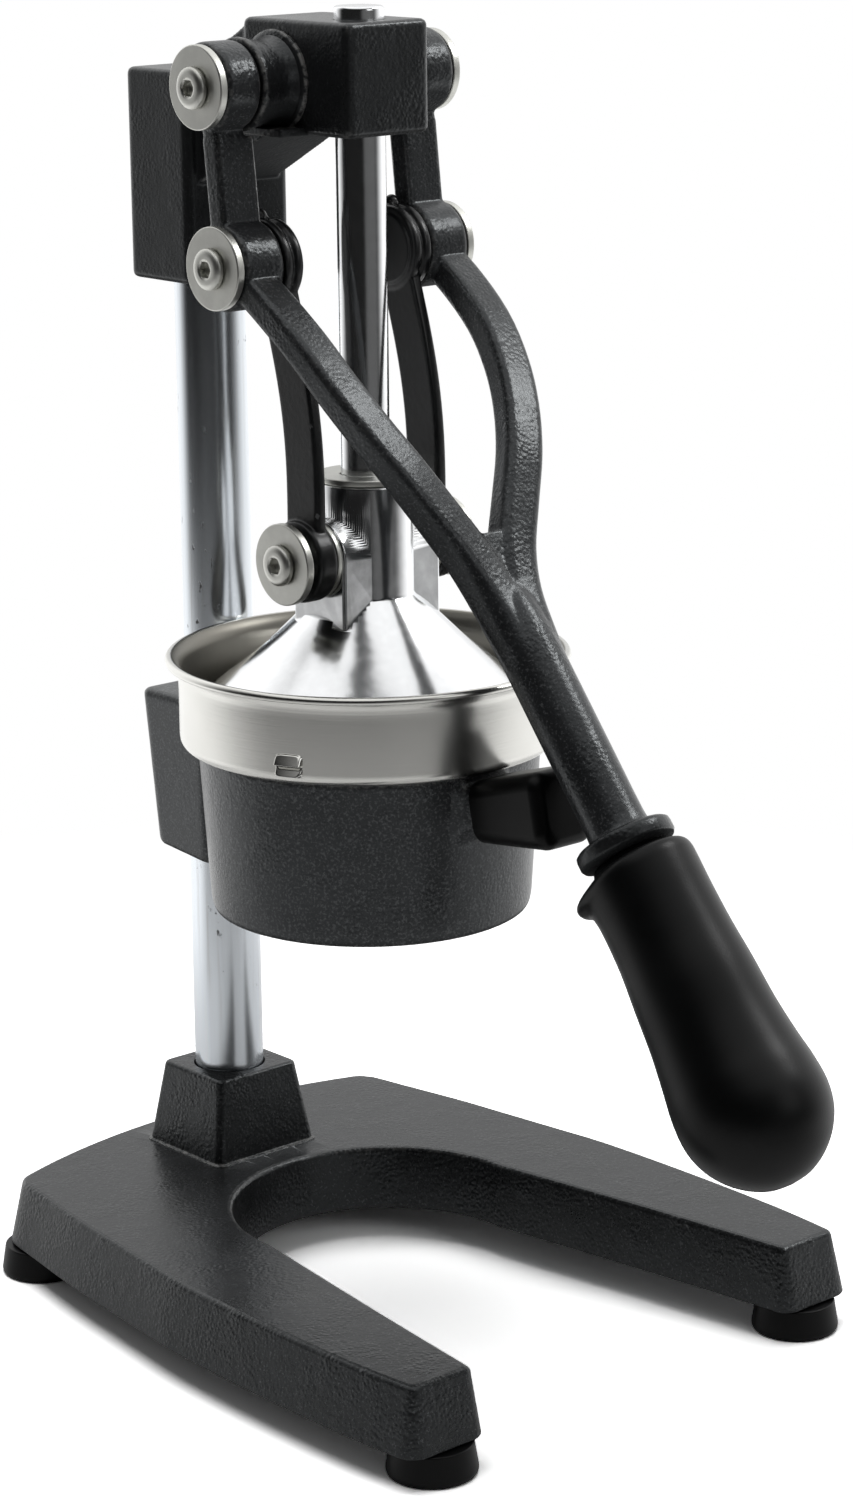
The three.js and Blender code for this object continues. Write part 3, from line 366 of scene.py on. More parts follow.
# ---------------------------------------------------------------- shader helpers
class Value:
    """A socket in sums: + - and * add the nodes that work them out."""

    def __init__(self, paint, socket):
        self.paint, self.socket = paint, socket

    def _math(self, operation, *values):
        return self.paint.node("Math", {"operation": operation}, dict(enumerate(values)))

    def __add__(self, other): return self._math("ADD", self, other)
    def __radd__(self, other): return self._math("ADD", other, self)
    def __sub__(self, other): return self._math("SUBTRACT", self, other)
    def __rsub__(self, other): return self._math("SUBTRACT", other, self)
    def __mul__(self, other): return self._math("MULTIPLY", self, other)
    def __rmul__(self, other): return self._math("MULTIPLY", other, self)

    def within(self, low, high):
        """0 at low, 1 at high, smooth between."""
        return self.paint.node("MapRange", {"interpolation_type": "SMOOTHSTEP"},
                               {0: self, 1: low, 2: high, 3: 0.0, 4: 1.0})


class Paint:
    """One material, or the world, and the node tree that is built for it."""

    def __init__(self, name, owners=None, coordinates="Object"):
        """An empty tree; owners is the collection to make it in, materials unless it is given."""
        self.material = (bpy.data.materials if owners is None else owners).new(name)
        self.material.use_nodes = True
        self.tree = self.material.node_tree
        self.tree.nodes.clear()
        self.coordinates = self.node("TexCoord", out=coordinates)

    def node(self, kind, settings=None, inputs=None, out=0):
        """A node with its settings, then its sockets' values or links; gives one of its outputs."""
        node = self.tree.nodes.new("ShaderNode" + kind)
        for key, value in (settings or {}).items():
            setattr(node, key, value)
        for key, value in (inputs or {}).items():
            socket = node.inputs[key]
            if isinstance(value, Value):
                self.tree.links.new(value.socket, socket)
            elif socket.type == "RGBA" and len(value) == 3:
                socket.default_value = (*value, 1)
            else:
                socket.default_value = value
        return Value(self, node.outputs[out]) if len(node.outputs) else None

    def scaled(self, x, y, z):
        return self.node("Mapping", inputs={"Vector": self.coordinates, "Scale": (x, y, z)})

    def noise(self, scale, detail, roughness, vector=None):
        return self.node("TexNoise", inputs={"Vector": vector or self.coordinates, "Scale": scale,
                                             "Detail": detail, "Roughness": roughness})

    def cells(self, scale, smooth):
        return self.node("TexVoronoi", {"feature": "SMOOTH_F1"},
                         {"Vector": self.coordinates, "Scale": scale, "Smoothness": smooth})

    def colour(self, factor, a, b):
        return self.node("Mix", {"data_type": "RGBA"}, {0: factor, 6: a, 7: b}, out=2)

    def bump(self, height, distance, strength):
        return self.node("Bump", inputs={"Height": height, "Distance": distance, "Strength": strength})

    def maximum(self, a, b):
        return self.node("Math", {"operation": "MAXIMUM"}, {0: a, 1: b})

    def measure(self, operation, a, b=(0, 0, 0)):
        """A number worked out from two vectors."""
        return self.node("VectorMath", {"operation": operation}, {0: a, 1: b}, out="Value")

    def part(self, axis, vector=None):
        """One number of a vector: "X", "Y" or "Z"."""
        return self.node("SeparateXYZ", inputs={0: vector or self.coordinates}, out=axis)

    def shades(self, factor, colour, dark, light=1.0):
        """The colour, between a darker and a lighter shade of it."""
        return self.colour(factor, shade(colour, dark), shade(colour, light))

    def mixed(self, factor, a, b):
        """Shader a, turning to b as the factor goes from 0 to 1."""
        return self.node("MixShader", inputs={0: factor, 1: a, 2: b})

    def added(self, a, b):
        return self.node("AddShader", inputs={0: a, 1: b})

    def surface(self, tone, rough, normal, **more):
        """Ends the tree in one shader and gives the material."""
        shader = self.node("BsdfPrincipled", inputs={"Base Color": tone, "Roughness": rough,
                                                     "Normal": normal, **more})
        self.node("OutputMaterial", inputs={"Surface": shader})
        return self.material

    def metal(self, tone, rough, normal):
        return self.surface(tone, rough, normal, Metallic=1.0)

    def coat(self, tone, rough, normal, level, tint=(1, 1, 1)):
        """Paint or plastic; level and tint are those of its gloss."""
        return self.surface(tone, rough, normal, Metallic=0.0, IOR=1.5,
                            **{"Specular IOR Level": level, "Specular Tint": tint})


def edges(paint, low=0.51, high=0.56):
    """1 along edges that stand out, 0 elsewhere."""
    return paint.node("NewGeometry", out="Pointiness").within(low, high)


# ---------------------------------------------------------------- finishes
def casting_finish(name, colour, grain, depth=0.0002, wear_and_highlight=edges, relief=None,
                   speckle=(0.62, 0.74, 0.35)):
    """Fine-grained powder coat over sand-cast metal, lighter where wear_and_highlight says: partly paint
    wear, partly a painted highlight.
    relief scales the grain; speckle is where light specks start and are full, and their strength."""
    paint = Paint(name)
    pebble = paint.cells(1.0 / grain, 0.5)
    fine = paint.noise(1.9 / grain, 3, 0.65)
    broad = paint.noise(38, 3, 0.55)
    rough_skin = paint.noise(70, 2, 0.5).within(0.42, 0.62)
    swell = paint.noise(190, 2, 0.5)
    height = (1 - pebble) * (0.25 + rough_skin * 0.5) + fine * 0.22 + swell * 0.5
    if relief:
        height = height * relief(paint)
    normal = paint.bump(height, depth, 1.0)
    # lighter along edges, rims and the base's bead: partly paint wear, partly a painted highlight
    lightened = wear_and_highlight(paint) * paint.noise(420, 3, 0.65).within(0.38, 0.62)
    grit = paint.noise(1.5 / grain, 2, 0.6).within(*speckle[:2])
    tone = paint.shades(broad.within(0.32, 0.7), colour, 0.75, 1.3)
    tone = paint.colour(grit * speckle[2], tone, (0.14, 0.145, 0.15))
    # this light grey is partly paint wear and partly a painted highlight
    tone = paint.colour(lightened * 0.8, tone, (0.3, 0.295, 0.285))
    below = paint.part("Z", paint.node("TexCoord", out="Normal")).within(-0.2, -0.5)
    rough = 0.19 + broad * 0.1 + fine * 0.1 + below * 0.55
    return paint.coat(tone, rough, normal, 0.45, (0.93, 0.98, 1.0))


def layer(paint, start, full, end, gone):
    """1 between full and end, heights over the base's top in millimetres, 0 before start or past gone."""
    start, full, end, gone = (BASE_TOP_Z * MM + h * MM for h in (start, full, end, gone))
    height = paint.part("Z")
    return height.within(start, full) * height.within(gone, end)


def base_seam_and_highlight(paint):
    """1 on the bead round the socket's foot, a lighter seam with a painted highlight on it, and some along
    the rim of the opening, where a highlight is painted.
    """
    apart = paint.measure("DISTANCE", paint.scaled(1, 1, 0), (0, OPENING_Y * MM, 0))
    # the rim of the opening: a painted highlight
    rim = apart.within((OPENING_R + 1.9) * MM, (OPENING_R + 0.7) * MM) \
        * paint.part("Z").within((BASE_TOP_Z - 1.5) * MM, (BASE_TOP_Z - 0.6) * MM)
    return paint.maximum(layer(paint, 0.1, 0.3, 0.7, 1.2), rim * 0.3)


def base_relief(paint):
    """The grain's strength: fainter on the base's flat top than on its sides and its socket."""
    return 1.0 - layer(paint, -0.3, -0.1, 0.2, 0.35) * 0.55


def rear_relief(paint):
    """The grain's strength: fainter on the clamp blocks at the post than on the arms."""
    return 1.0 - paint.part("Y").within(0.045, 0.058) * 0.5


def rim_crest_highlight(paint):
    """1 on the crest of the rims round the head's bosses, where a highlight is painted."""
    apart = paint.measure("DISTANCE", paint.scaled(0, 1, 1), (0, *(c * MM for c in PIVOT_TOP)))
    return apart.within((RIM_R - 0.8) * MM, (RIM_R - 0.3) * MM) * apart.within(0.017, 0.016)


def enamel_finish(name, colour):
    """Smooth dark enamel, slightly orange-peeled, thin on the edges."""
    paint = Paint(name)
    peel = paint.noise(520, 2, 0.5)
    broad = paint.noise(55, 3, 0.6)
    lightened = edges(paint, 0.52, 0.58) * paint.noise(240, 3, 0.6).within(0.3, 0.6)
    tone = paint.shades(broad.within(0.3, 0.7), colour, 0.8, 1.2)
    tone = paint.colour(lightened * 0.8, tone, (0.17, 0.175, 0.18))
    return paint.coat(tone, 0.26 + broad * 0.14, paint.bump(peel, 0.00008, 0.7), 0.42)


def nickel_finish(name, colour):
    """Satin nickel plate with faint smudges."""
    paint = Paint(name)
    smudge = paint.noise(140, 4, 0.6)
    fine = paint.noise(2600, 2, 0.5)
    tone = paint.shades(smudge.within(0.3, 0.75), colour, 0.86)
    return paint.metal(tone, 0.3 + smudge * 0.16 + fine * 0.05, paint.bump(fine, 0.00002, 0.5))


def plate_finish(name, colour):
    """Zinc-plated drawn tube: streaks along its length, small pits, a brown stain here and there."""
    paint = Paint(name)
    streak = paint.noise(330, 4, 0.6, paint.scaled(1, 1, 0.03))
    wide = paint.noise(90, 3, 0.5, paint.scaled(1, 1, 0.05))
    patch = paint.noise(45, 3, 0.6, paint.scaled(1, 1, 0.3))
    pits = paint.noise(420, 3, 0.6, paint.scaled(1, 1, 0.55)).within(0.66, 0.72) * patch.within(0.46, 0.6)
    tone = paint.shades(wide.within(0.3, 0.7), colour, 0.8)
    tone = paint.colour(streak.within(0.55, 0.8) * 0.35, tone, (0.34, 0.3, 0.26))
    tone = paint.colour(pits * 0.85, tone, (0.06, 0.05, 0.045))
    rough = 0.17 + streak * 0.12 + pits * 0.4
    return paint.metal(tone, rough, paint.bump(streak * 0.6 - pits, 0.00005, 0.6))


def sheet_finish(name, colour):
    """Satin stainless sheet, spun: faint lines run round it, and inside the bowl it is painted darker, as
    shade, and made rougher.
    """
    paint = Paint(name)
    lines = paint.noise(60, 3, 0.7, paint.scaled(0.35, 0.35, 26))
    cloud = paint.noise(30, 3, 0.55)
    tone = paint.shades(cloud.within(0.3, 0.75), colour, 0.93)
    outwards = paint.measure("DOT_PRODUCT", paint.scaled(1, 1, 0), paint.node("NewGeometry", out="Normal"))
    # faces looking in towards the axis get a dark colour painted in as shade, and more roughness
    inner_painted_shade = outwards.within(-0.008, -0.03)
    tone = paint.colour(inner_painted_shade * 0.88, tone, (0.13, 0.122, 0.1))
    rough = 0.19 + inner_painted_shade * 0.16 + cloud * 0.06 + lines * 0.05
    return paint.metal(tone, rough, paint.bump(lines, 0.00002, 0.5))


def chrome_finish(name, colour, rough, ripple):
    """Bright chrome over polished metal, with slight waviness from hand polishing."""
    paint = Paint(name)
    wave = paint.noise(75, 2, 0.5)
    haze = paint.noise(260, 4, 0.65)
    tone = paint.shades(haze.within(0.35, 0.8), colour, 0.94)
    return paint.metal(tone, rough + haze * 0.07, paint.bump(wave * ripple + haze * 0.05, 0.00025, 0.5))


def rubber_finish(name, colour, gloss, level):
    """Moulded black rubber or plastic with a fine matt grain; gloss is its least roughness."""
    paint = Paint(name)
    grain = paint.noise(1500, 3, 0.6)
    broad = paint.noise(45, 3, 0.55)
    tone = paint.shades(broad.within(0.3, 0.75), colour, 0.8, 1.25)
    rough = gloss + broad * 0.12 + grain * 0.06
    return paint.coat(tone, rough, paint.bump(grain, 0.00003, 0.6), level)


@cache
def finish(name):
    """The material of a finish, made once."""
    tint, grain = bpy.context.scene.press_colours, sizes().grain
    kind, label, colour, *more = {
        "charcoal_casting": (casting_finish, "Charcoal casting", tint.casting,
                             grain, 0.0002, edges, rear_relief),
        # the cup's and the lever's coats are the casting colour painted 2.2 and 1.6 times lighter, standing
        # in for the light that falls on them
        "charcoal_cup": (casting_finish, "Charcoal cup", shade(tint.casting, 2.2),
                         grain, 0.0002, edges, rear_relief, (0.5, 0.66, 0.9)),
        "charcoal_lever": (casting_finish, "Charcoal lever", shade(tint.casting, 1.6),
                           grain, 0.0002, edges, None, (0.54, 0.7, 0.7)),
        "charcoal_base": (casting_finish, "Charcoal base", tint.casting,
                          grain, 0.0003, base_seam_and_highlight, base_relief, (0.56, 0.72, 0.6)),
        "charcoal_rims": (casting_finish, "Charcoal rims", tint.casting, grain, 0.0002, rim_crest_highlight),
        "dark_paint": (enamel_finish, "Dark enamel", tint.enamel),
        "nickel": (nickel_finish, "Satin nickel", tint.nickel),
        "plated_tube": (plate_finish, "Plated tube", tint.plate),
        "satin_steel": (sheet_finish, "Satin stainless", tint.sheet),
        "bright_steel": (chrome_finish, "Bright pressed steel", tint.sheet, 0.05, 0.2),
        "chromed_rod": (chrome_finish, "Chromed rod", tint.chrome, 0.13, 0.7),
        "polished_cone": (chrome_finish, "Polished cone", tint.chrome, 0.12, 1.0),
        "bronze": (nickel_finish, "Turned bronze", tint.bronze),
        "black_rubber": (rubber_finish, "Black rubber", tint.rubber, 0.26, 0.18),
        "black_grip": (rubber_finish, "Black grip", tint.grip, 0.28, 0.2),
    }[name]
    return kind(label, tuple(colour), *more)


# ---------------------------------------------------------------- node trees
class Tree:
    """A Geometry Nodes tree under construction."""

    KINDS = {"object": "NodeSocketObject", "float": "NodeSocketFloat", "int": "NodeSocketInt",
             "material": "NodeSocketMaterial"}

    def __init__(self, name, **kinds):
        """The tree with its geometry in and out, and an input of each kind for every label."""
        self.group = bpy.data.node_groups.new(name, "GeometryNodeTree")
        self.ids = {}
        face = self.group.interface
        face.new_socket("Geometry", in_out="INPUT", socket_type="NodeSocketGeometry")
        for kind, labels in kinds.items():
            for label in labels:
                self.ids[label] = face.new_socket(label, in_out="INPUT",
                                                  socket_type=self.KINDS[kind]).identifier
        face.new_socket("Geometry", in_out="OUTPUT", socket_type="NodeSocketGeometry")
        self.value = self.group.nodes.new("NodeGroupInput").outputs

    def node(self, kind, inputs, out=0, **settings):
        """A node with its settings, then its sockets' values or links; gives one of its outputs."""
        node = self.group.nodes.new(kind)
        for key, value in settings.items():
            setattr(node, key, value)
        for key, value in inputs.items():
            if isinstance(value, bpy.types.NodeSocket):
                self.group.links.new(value, node.inputs[key])
            else:
                node.inputs[key].default_value = value
        return node.outputs[out]

    def maths(self, operation, a, b):
        return self.node("ShaderNodeMath", {0: a, 1: b}, operation=operation)

    def end(self, geometry):
        """Realizes instances, sets the material and closes the tree."""
        real = self.node("GeometryNodeRealizeInstances", {0: geometry})
        painted = self.node("GeometryNodeSetMaterial", {"Geometry": real, "Material": self.value["Material"]})
        self.group.links.new(painted, self.group.nodes.new("NodeGroupOutput").inputs[0])
        return self

    def end_at_spots(self, piece):
        """Ends in copies of a piece at the tree's own points, each turned as its point says."""
        turns = self.node("GeometryNodeInputNamedAttribute", {"Name": "turn"}, data_type="FLOAT_VECTOR")
        rotation = self.node("FunctionNodeEulerToRotation", {0: turns})
        return self.end(self.node("GeometryNodeInstanceOnPoints", {
            "Points": self.value["Geometry"], "Instance": piece, "Rotation": rotation}))

    def grown(self, obj, values, name):
        """The tree run on an object with those inputs, as a plain mesh object."""
        modifier = obj.modifiers.new(self.group.name, "NODES")
        modifier.node_group = self.group
        for label, value in values.items():
            modifier[self.ids[label]] = value
        return settled(obj, name)


def spots(points, turns=None):
    """An object of loose points, each with the turn that a copy takes there."""
    mesh = bpy.data.meshes.new("spots")
    mesh.from_pydata([tuple(c * MM for c in p) for p in points], [], [])
    turn_at = mesh.attributes.new("turn", "FLOAT_VECTOR", "POINT")
    turn_at.data.foreach_set("vector", [c for t in (turns or [(0, 0, 0)] * len(points)) for c in t])
    return new_object("spots", mesh)


@cache
def copies_tree():
    """Copies of a piece at spots."""
    tree = Tree("Copies at spots", object=["Piece"], material=["Material"])
    return tree.end_at_spots(tree.node("GeometryNodeObjectInfo", {"Object": tree.value["Piece"]}, "Geometry"))


@cache
def washer_tree():
    """Flat rings with rounded rims, one at each spot."""
    tree = Tree("Washers at spots", float=["Bore radius", "Outer radius", "Thickness", "Edge"],
                material=["Material"])
    inner, outer = tree.value["Bore radius"], tree.value["Outer radius"]
    path = tree.node("GeometryNodeCurvePrimitiveCircle", {
        "Resolution": 96, "Radius": tree.maths("MULTIPLY", tree.maths("ADD", inner, outer), 0.5)})
    upright = tree.node("GeometryNodeSetCurveNormal", {"Curve": path}, mode="Z_UP")
    section = tree.node("GeometryNodeCurvePrimitiveQuadrilateral", {
        "Width": tree.maths("SUBTRACT", outer, inner), "Height": tree.value["Thickness"]})
    eased = tree.node("GeometryNodeFilletCurve", {
        "Curve": section, "Count": 4, "Radius": tree.value["Edge"]}, mode="POLY")
    return tree.end_at_spots(tree.node("GeometryNodeCurveToMesh", {"Curve": upright, "Profile Curve": eased}))


@cache
def slots_tree():
    """A dome cut by two rings of slots."""
    tree = Tree("Slotted dome", int=["Inner count", "Outer count"],
                float=["Inner radius", "Inner length", "Outer radius", "Outer length", "Width", "Height"],
                material=["Material"])
    result = tree.value["Geometry"]
    lift = tree.node("ShaderNodeCombineXYZ", {"Z": 0.2})
    for ring in ("Inner", "Outer"):
        circle = tree.node("GeometryNodeMeshCircle", {"Vertices": tree.value[f"{ring} count"],
                                                      "Radius": tree.value[f"{ring} radius"]})
        facing = tree.node("FunctionNodeAlignRotationToVector", {
            "Vector": tree.node("GeometryNodeInputPosition", {})}, axis="X")
        size = tree.node("ShaderNodeCombineXYZ", {"X": tree.value[f"{ring} length"],
                                                  "Y": tree.value["Width"], "Z": tree.value["Height"]})
        placed = tree.node("GeometryNodeInstanceOnPoints", {
            "Points": circle, "Instance": tree.node("GeometryNodeMeshCube", {"Size": size}),
            "Rotation": facing})
        lifted = tree.node("GeometryNodeTransform", {
            "Geometry": tree.node("GeometryNodeRealizeInstances", {0: placed}), "Translation": lift})
        result = tree.node("GeometryNodeMeshBoolean", {"Mesh 1": result, "Mesh 2": lifted},
                           operation="DIFFERENCE", solver="MANIFOLD")
    return tree.end(result)


def copies(name, piece, points, turns, material):
    """One mesh of a piece's copies at those points; the piece is used up."""
    done = copies_tree().grown(spots(points, turns), {"Piece": piece, "Material": material}, name)
    bpy.data.objects.remove(piece)
    return done


# ---------------------------------------------------------------- cast pieces
# the base's side as (x, y), from its rear corner to its front one
SIDE_LINE = [(71, 90.5), (73.2, 86), (75.6, 72), (79.6, 49), (82.2, 28), (85, 5), (87, -13),
             (87.9, -45), (87.5, -80), (86.6, -98), (85.4, -111)]
REAR_Y, REAR_R, FRONT_Y = 103.5, 204.0, -114.5          # the bowed rear edge and the legs' ends
OPENING_R, OPENING_Y, LEG_X = 47.5, -4.0, 63.0          # the round opening and the legs' inner edges
CORE_WALL, SKIN = 6, 7                                  # round the opening, and under the top


def round_corner(a, p, b, size, steps=6):
    """The points of a round corner at p between a and b, with the draft going from a's to b's."""
    a, p, b, first, last = Vector(a[:2]), Vector(p), Vector(b[:2]), a[2], b[2]
    start, end = p + (a - p).normalized() * size, p + (b - p).normalized() * size
    return [(*(start * (1 - t) ** 2 + p * 2 * t * (1 - t) + end * t * t),
             first + (last - first) * t) for t in np.linspace(0, 1, steps + 1)]


def base_outline():
    """The base's upper rim as (x, y, draft), anticlockwise seen from below."""
    def rear(x):
        return REAR_Y - REAR_R + math.sqrt(REAR_R ** 2 - x * x)
    half = [(x, rear(x), 4.1) for x in np.linspace(2, 66, 15)]
    side = [(x, y, 4.4) for x, y in spline(SIDE_LINE, 3)][3:]
    half += round_corner(half[-1], (70.3, rear(70.3)), side[0], 2.4) + side
    front = [(x, FRONT_Y, 4.2) for x in (80, 74, 68)]
    half += round_corner(side[-1], (85.1, FRONT_Y), front[0], 2.6) + front
    end = math.pi * 1.03 / 2
    ax, ay = OPENING_R * math.sin(end), OPENING_Y + OPENING_R * math.cos(end)
    leg = [(LEG_X + (ax - LEG_X) * t + 0.4 * math.sin(math.pi * t), FRONT_Y + (ay - FRONT_Y) * t, 2.2)
           for t in np.linspace(0.06, 0.96, 14)]
    half += round_corner(front[-1], (LEG_X, FRONT_Y), leg[0], 2.4) + leg
    half += [(OPENING_R * math.sin(a), OPENING_Y + OPENING_R * math.cos(a), 2.2)
             for a in np.linspace(end, 0.05, 26)]
    return half + [(-x, y, draft) for x, y, draft in half[::-1]]


def base_ring(line, z, draft=1.0, inset=0.0):
    """The outline at height z, every side moved out by its draft less the inset."""
    ring, n = [], len(line)
    for i, (x, y, d) in enumerate(line):
        p = Vector((x, y))
        a = (p - Vector(line[i - 1][:2])).normalized()
        b = (Vector(line[(i + 1) % n][:2]) - p).normalized()
        a, b = Vector((-a.y, a.x)), Vector((-b.y, b.x))
        ring.append((*(p + (a + b) / (1 + a.dot(b)) * (d * draft - inset)), z))
    return ring


FEET = ("foot_front_left", "foot_front_right", "foot_rear_left", "foot_rear_right")


def core(top, under):
    """The hollow under the base, which leaves walls, the foot bosses and the opening's wall."""
    half = [(20, 101.3), (45, 97.3), (68, 90)] + [p for p in SIDE_LINE[2:-1] if p[1] > FRONT_Y + 14] \
        + [(86, FRONT_Y + 12.5)]
    skin = [(x, y, 0) for x, y in half] + [(-x, y, 0) for x, y in half[::-1]]
    wall = OPENING_R + CORE_WALL
    legs = [(-LEG_X - CORE_WALL, FRONT_Y), (LEG_X + CORE_WALL, FRONT_Y), (wall, OPENING_Y),
            (-wall, OPENING_Y)]
    kept = [rod(wall, 0, top, at=(0, OPENING_Y, 0), sides=96),
            loft([[(x, y, z) for x, y in legs] for z in (0, top)])]
    kept += [rod(10, 0, top, at=(*centre(node)[:2], 0)) for node in FEET]
    return carve(loft([base_ring(skin, under - 1, 0, 2.3), base_ring(skin, top - SKIN, 0, 5)]), [], kept)


def make_base():
    """The horseshoe with its post socket, cored from below."""
    line = base_outline()
    top, under, ease = BASE_TOP_Z, BASE_UNDER_Z, sizes().base_edge / MM
    levels = [(under, 0.5), (under + 0.5, 0)] + [(top - up, inset) for up, inset in edge_steps(ease, 5)[::-1]]
    body = loft([base_ring(line, z, (top - z) / (top - under), inset) for z, inset in levels])
    foot, head, corner, cy = (19.8, 18.6), (16.0, 15.3), 2.6, POST_Y - 0.15
    bead = ((top - 3, 1.0), (top + 0.25, 1.0), (top + 0.5, 0.75), (top + 0.6, 0.1), (top + 0.9, 0))
    rings = [rounded(foot[0] + d, foot[1] + d, corner + d, z, 0, cy) for z, d in bead]
    rings += [rounded(head[0] - d, head[1] - d, corner - d / 2, SOCKET_TOP_Z - up, 0, cy)
              for up, d in edge_steps(1.3, 5)[::-1]]
    socket = loft(rings)
    mouth = turn([(0, top + 3), (POST_R + FIT, top + 3), (POST_R + FIT, SOCKET_TOP_Z - 0.5),
                  (POST_R + 1.3, SOCKET_TOP_Z + 0.5), (0, SOCKET_TOP_Z + 0.5)], 96, at=(0, POST_Y, 0))
    cuts = [core(top, under), mouth, rod(POST_BOLT_HOLE, 0, top + 8, at=(0, POST_Y, 0))]
    cuts += [rod(FOOT_SCREW_HOLE, 0, 19, at=(*centre(node)[:2], 0), sides=24) for node in FEET]
    obj = carve(body, [socket], cuts)
    obj.name = "base"
    place(machined(obj), "frame", "charcoal_casting", "base_casting", look="charcoal_base")


def make_feet():
    """The flared feet, with a well for each screw's head."""
    low, high = box_mm(FEET[0])
    wide = (high.x - low.x) / 2
    profile = soften([(5.4, 0), (wide - 0.5, 0), (wide, 1.3), (wide - 1.3, high.z), (2.4, high.z),
                      (2.4, 5.2), (5.4, 5.2)], [0.4, 0.6, 0.8, 0.5, 0, 0.3, 0.3])
    piece = new_object("foot", turn(profile, 72).mesh())
    done = copies("rubber_feet", piece, [(*centre(node)[:2], 0) for node in FEET], None,
                  finish("black_rubber"))
    place(machined(done), "frame", "black_rubber", *FEET)


def hexagon(radius, low, high, ease):
    """A six-sided bar with its rims eased."""
    angles = [math.pi / 3 * i for i in range(6)]
    levels = ((low, ease), (low + ease * 0.5, 0), (high - ease * 0.5, 0), (high, ease))
    return loft([[((radius - d) * math.cos(a), (radius - d) * math.sin(a), z) for a in angles]
                 for z, d in levels])


def make_post():
    """The steel tube."""
    wall = 2.5
    post = joined("post_tube", tube(POST_R - wall, POST_R, POST_LOW.z, POST_HIGH.z, 0.5,
                                    at=(0, POST_Y, 0), sides=128))
    place(machined(post), "frame", "plated_tube", "post")


def clamp_holes(low, high, screws):
    """The post's bore from low to high, and the holes for the set screws behind it."""
    return [rod(POST_R + FIT, low, high, at=(0, POST_Y, 0), sides=96)] \
        + [rod(SET_SCREW_HOLE, 76, 95, axis="y", at=(0, 0, z), sides=32) for z in screws]


LIP_Z = 389.4                                           # where the head's lip covers the upper bush


def make_head():
    """The clamp on the post, the arm, the block round the rod and the bosses for the lever."""
    arm = slab([(22.6, 360.4), (57.5, 342), (65, 340), (65, 374), (60, 375.4), (57, 377),
                (31.6, 391.3), (22.6, 391.3)], -15.2, 15.2)
    waist = soften([(0, 14), (14.0, 14), (14.0, 16.2), (12.9, 18.6), (12.1, 22), (12.9, 27), (13.5, 28.8),
                    (13.5, 30.5), (0, 30.5)], [0, 0, 0.2, 1.6, 3, 3, 1, 0.9, 0], 4)
    boss = turn(waist, 96, "x", (0, *PIVOT_TOP))
    forms = [block((-15.8, 15.8), (-13.1, 34.6), (359.9, 392.5), 2.4, 1.7), arm, boss, boss.mirrored()]
    rear = block((-19.6, 19.6), (POST_Y - 15.6, POST_Y + 14.4), (312, 375.7), 2.6, 1.7)
    cuts = [rod(ROD_R + 2.0, 350, LIP_Z, sides=96), rod(ROD_R + 0.35, 350, 400, sides=96)]
    cuts += clamp_holes(300, 366.5, (324, 338))
    hole = rod(BORE_R, 18, 32, axis="x", at=(0, *PIVOT_TOP), sides=32)
    obj = carve(rear, forms, cuts + [hole, hole.mirrored()])
    obj = cast(obj, "head", sizes().casting_grid / MM, 2)
    place(obj, "frame", "charcoal_casting", "head_casting")
    rim = turn(soften([(12, 15), (RIM_R, 15), (RIM_R, 16.7), (RIM_R - 0.9, 17.3), (12, 18.2)],
                      [0, 0, 0.45, 0.5, 0], 4), 128, "x", (0, *PIVOT_TOP))
    ledge = block((14, 25.2), (PIVOT_TOP[0] - 13.4, PIVOT_TOP[0] + 5), (359.95, 362.2), 0.8, 0.3)
    rims = joined("boss_rims", rim, ledge, rim.mirrored(), ledge.mirrored())
    place(machined(rims), "frame", "charcoal_casting", look="charcoal_rims")


def make_cup():
    """The open cup, its bracket on the post, the bridge between them and the bumper's stub."""
    under = box_mm("cup_casting")[0].z
    rim, wide, foot = 178.0, 51.8, 48.8
    shell = turn([(32, under)] + soften([(32, under), (foot - 0.9, under), (foot, under + 3.0), (wide, rim),
                                         (wide - 4.2, rim), (foot - 4.4, under + 6.5), (32, under + 5)],
                                        [0.5, 2.4, 2.6, 1.0, 0.6, 2, 0.5], 4), 160)
    inside = rod(foot - 2.6, under - 2, rim + 9, sides=128)
    cy, drop = POST_Y + 0.2, 2.4
    rings = []
    for z, hx, hy, d in ((130.8, 16.6, 13.6, 1.5), (131.4, 16.6, 13.6, 0.5), (132.6, 16.7, 13.7, 0),
                         (180.6, 19.6, 16, 0), (181.6, 19.6, 16, 0.5), (182, 19.6, 16, 1.5)):
        ring = rounded(hx - d, hy - d, 3.4 - d / 2, z, 0, cy)
        rings.append([(x, y, v if z > 150 else v - drop * (cy + hy - y) / (2 * hy)) for x, y, v in ring])
    bracket = loft(rings)
    bridge = carve(block((-16, 16), (34, POST_Y), (131.5, rim - 1.4), 1, 0.8), [], [inside])
    stub_cut = carve(stub_form(8, 6), [stub_root()], [inside])
    notch = block((-26, 26), (20, 58.5), (rim - 1.4, 190), 0.5, 0.3)
    body = carve(shell, [bridge, stub_cut, bracket], [notch] + clamp_holes(120, 190, (147, 167)))
    body = cast(body, "cup", sizes().casting_grid / MM * 1.34, 2)
    place(body, "frame", "charcoal_casting", "cup_casting", look="charcoal_cup")


CAP_Y, CAP_Z = (-87.2, -57.0), 168.2                    # the bumper's ends and its middle's height
TIP = Matrix.Translation((0, CAP_Y[1], CAP_Z)) @ Matrix.Rotation(math.radians(-12), 4, "X") \
    @ Matrix.Translation((0, -CAP_Y[1], -CAP_Z))


def tipped(form):
    """The form leaning as the bumper and its stub do."""
    form.points = np.array([tuple(TIP @ Vector(p)) for p in form.points])
    return form


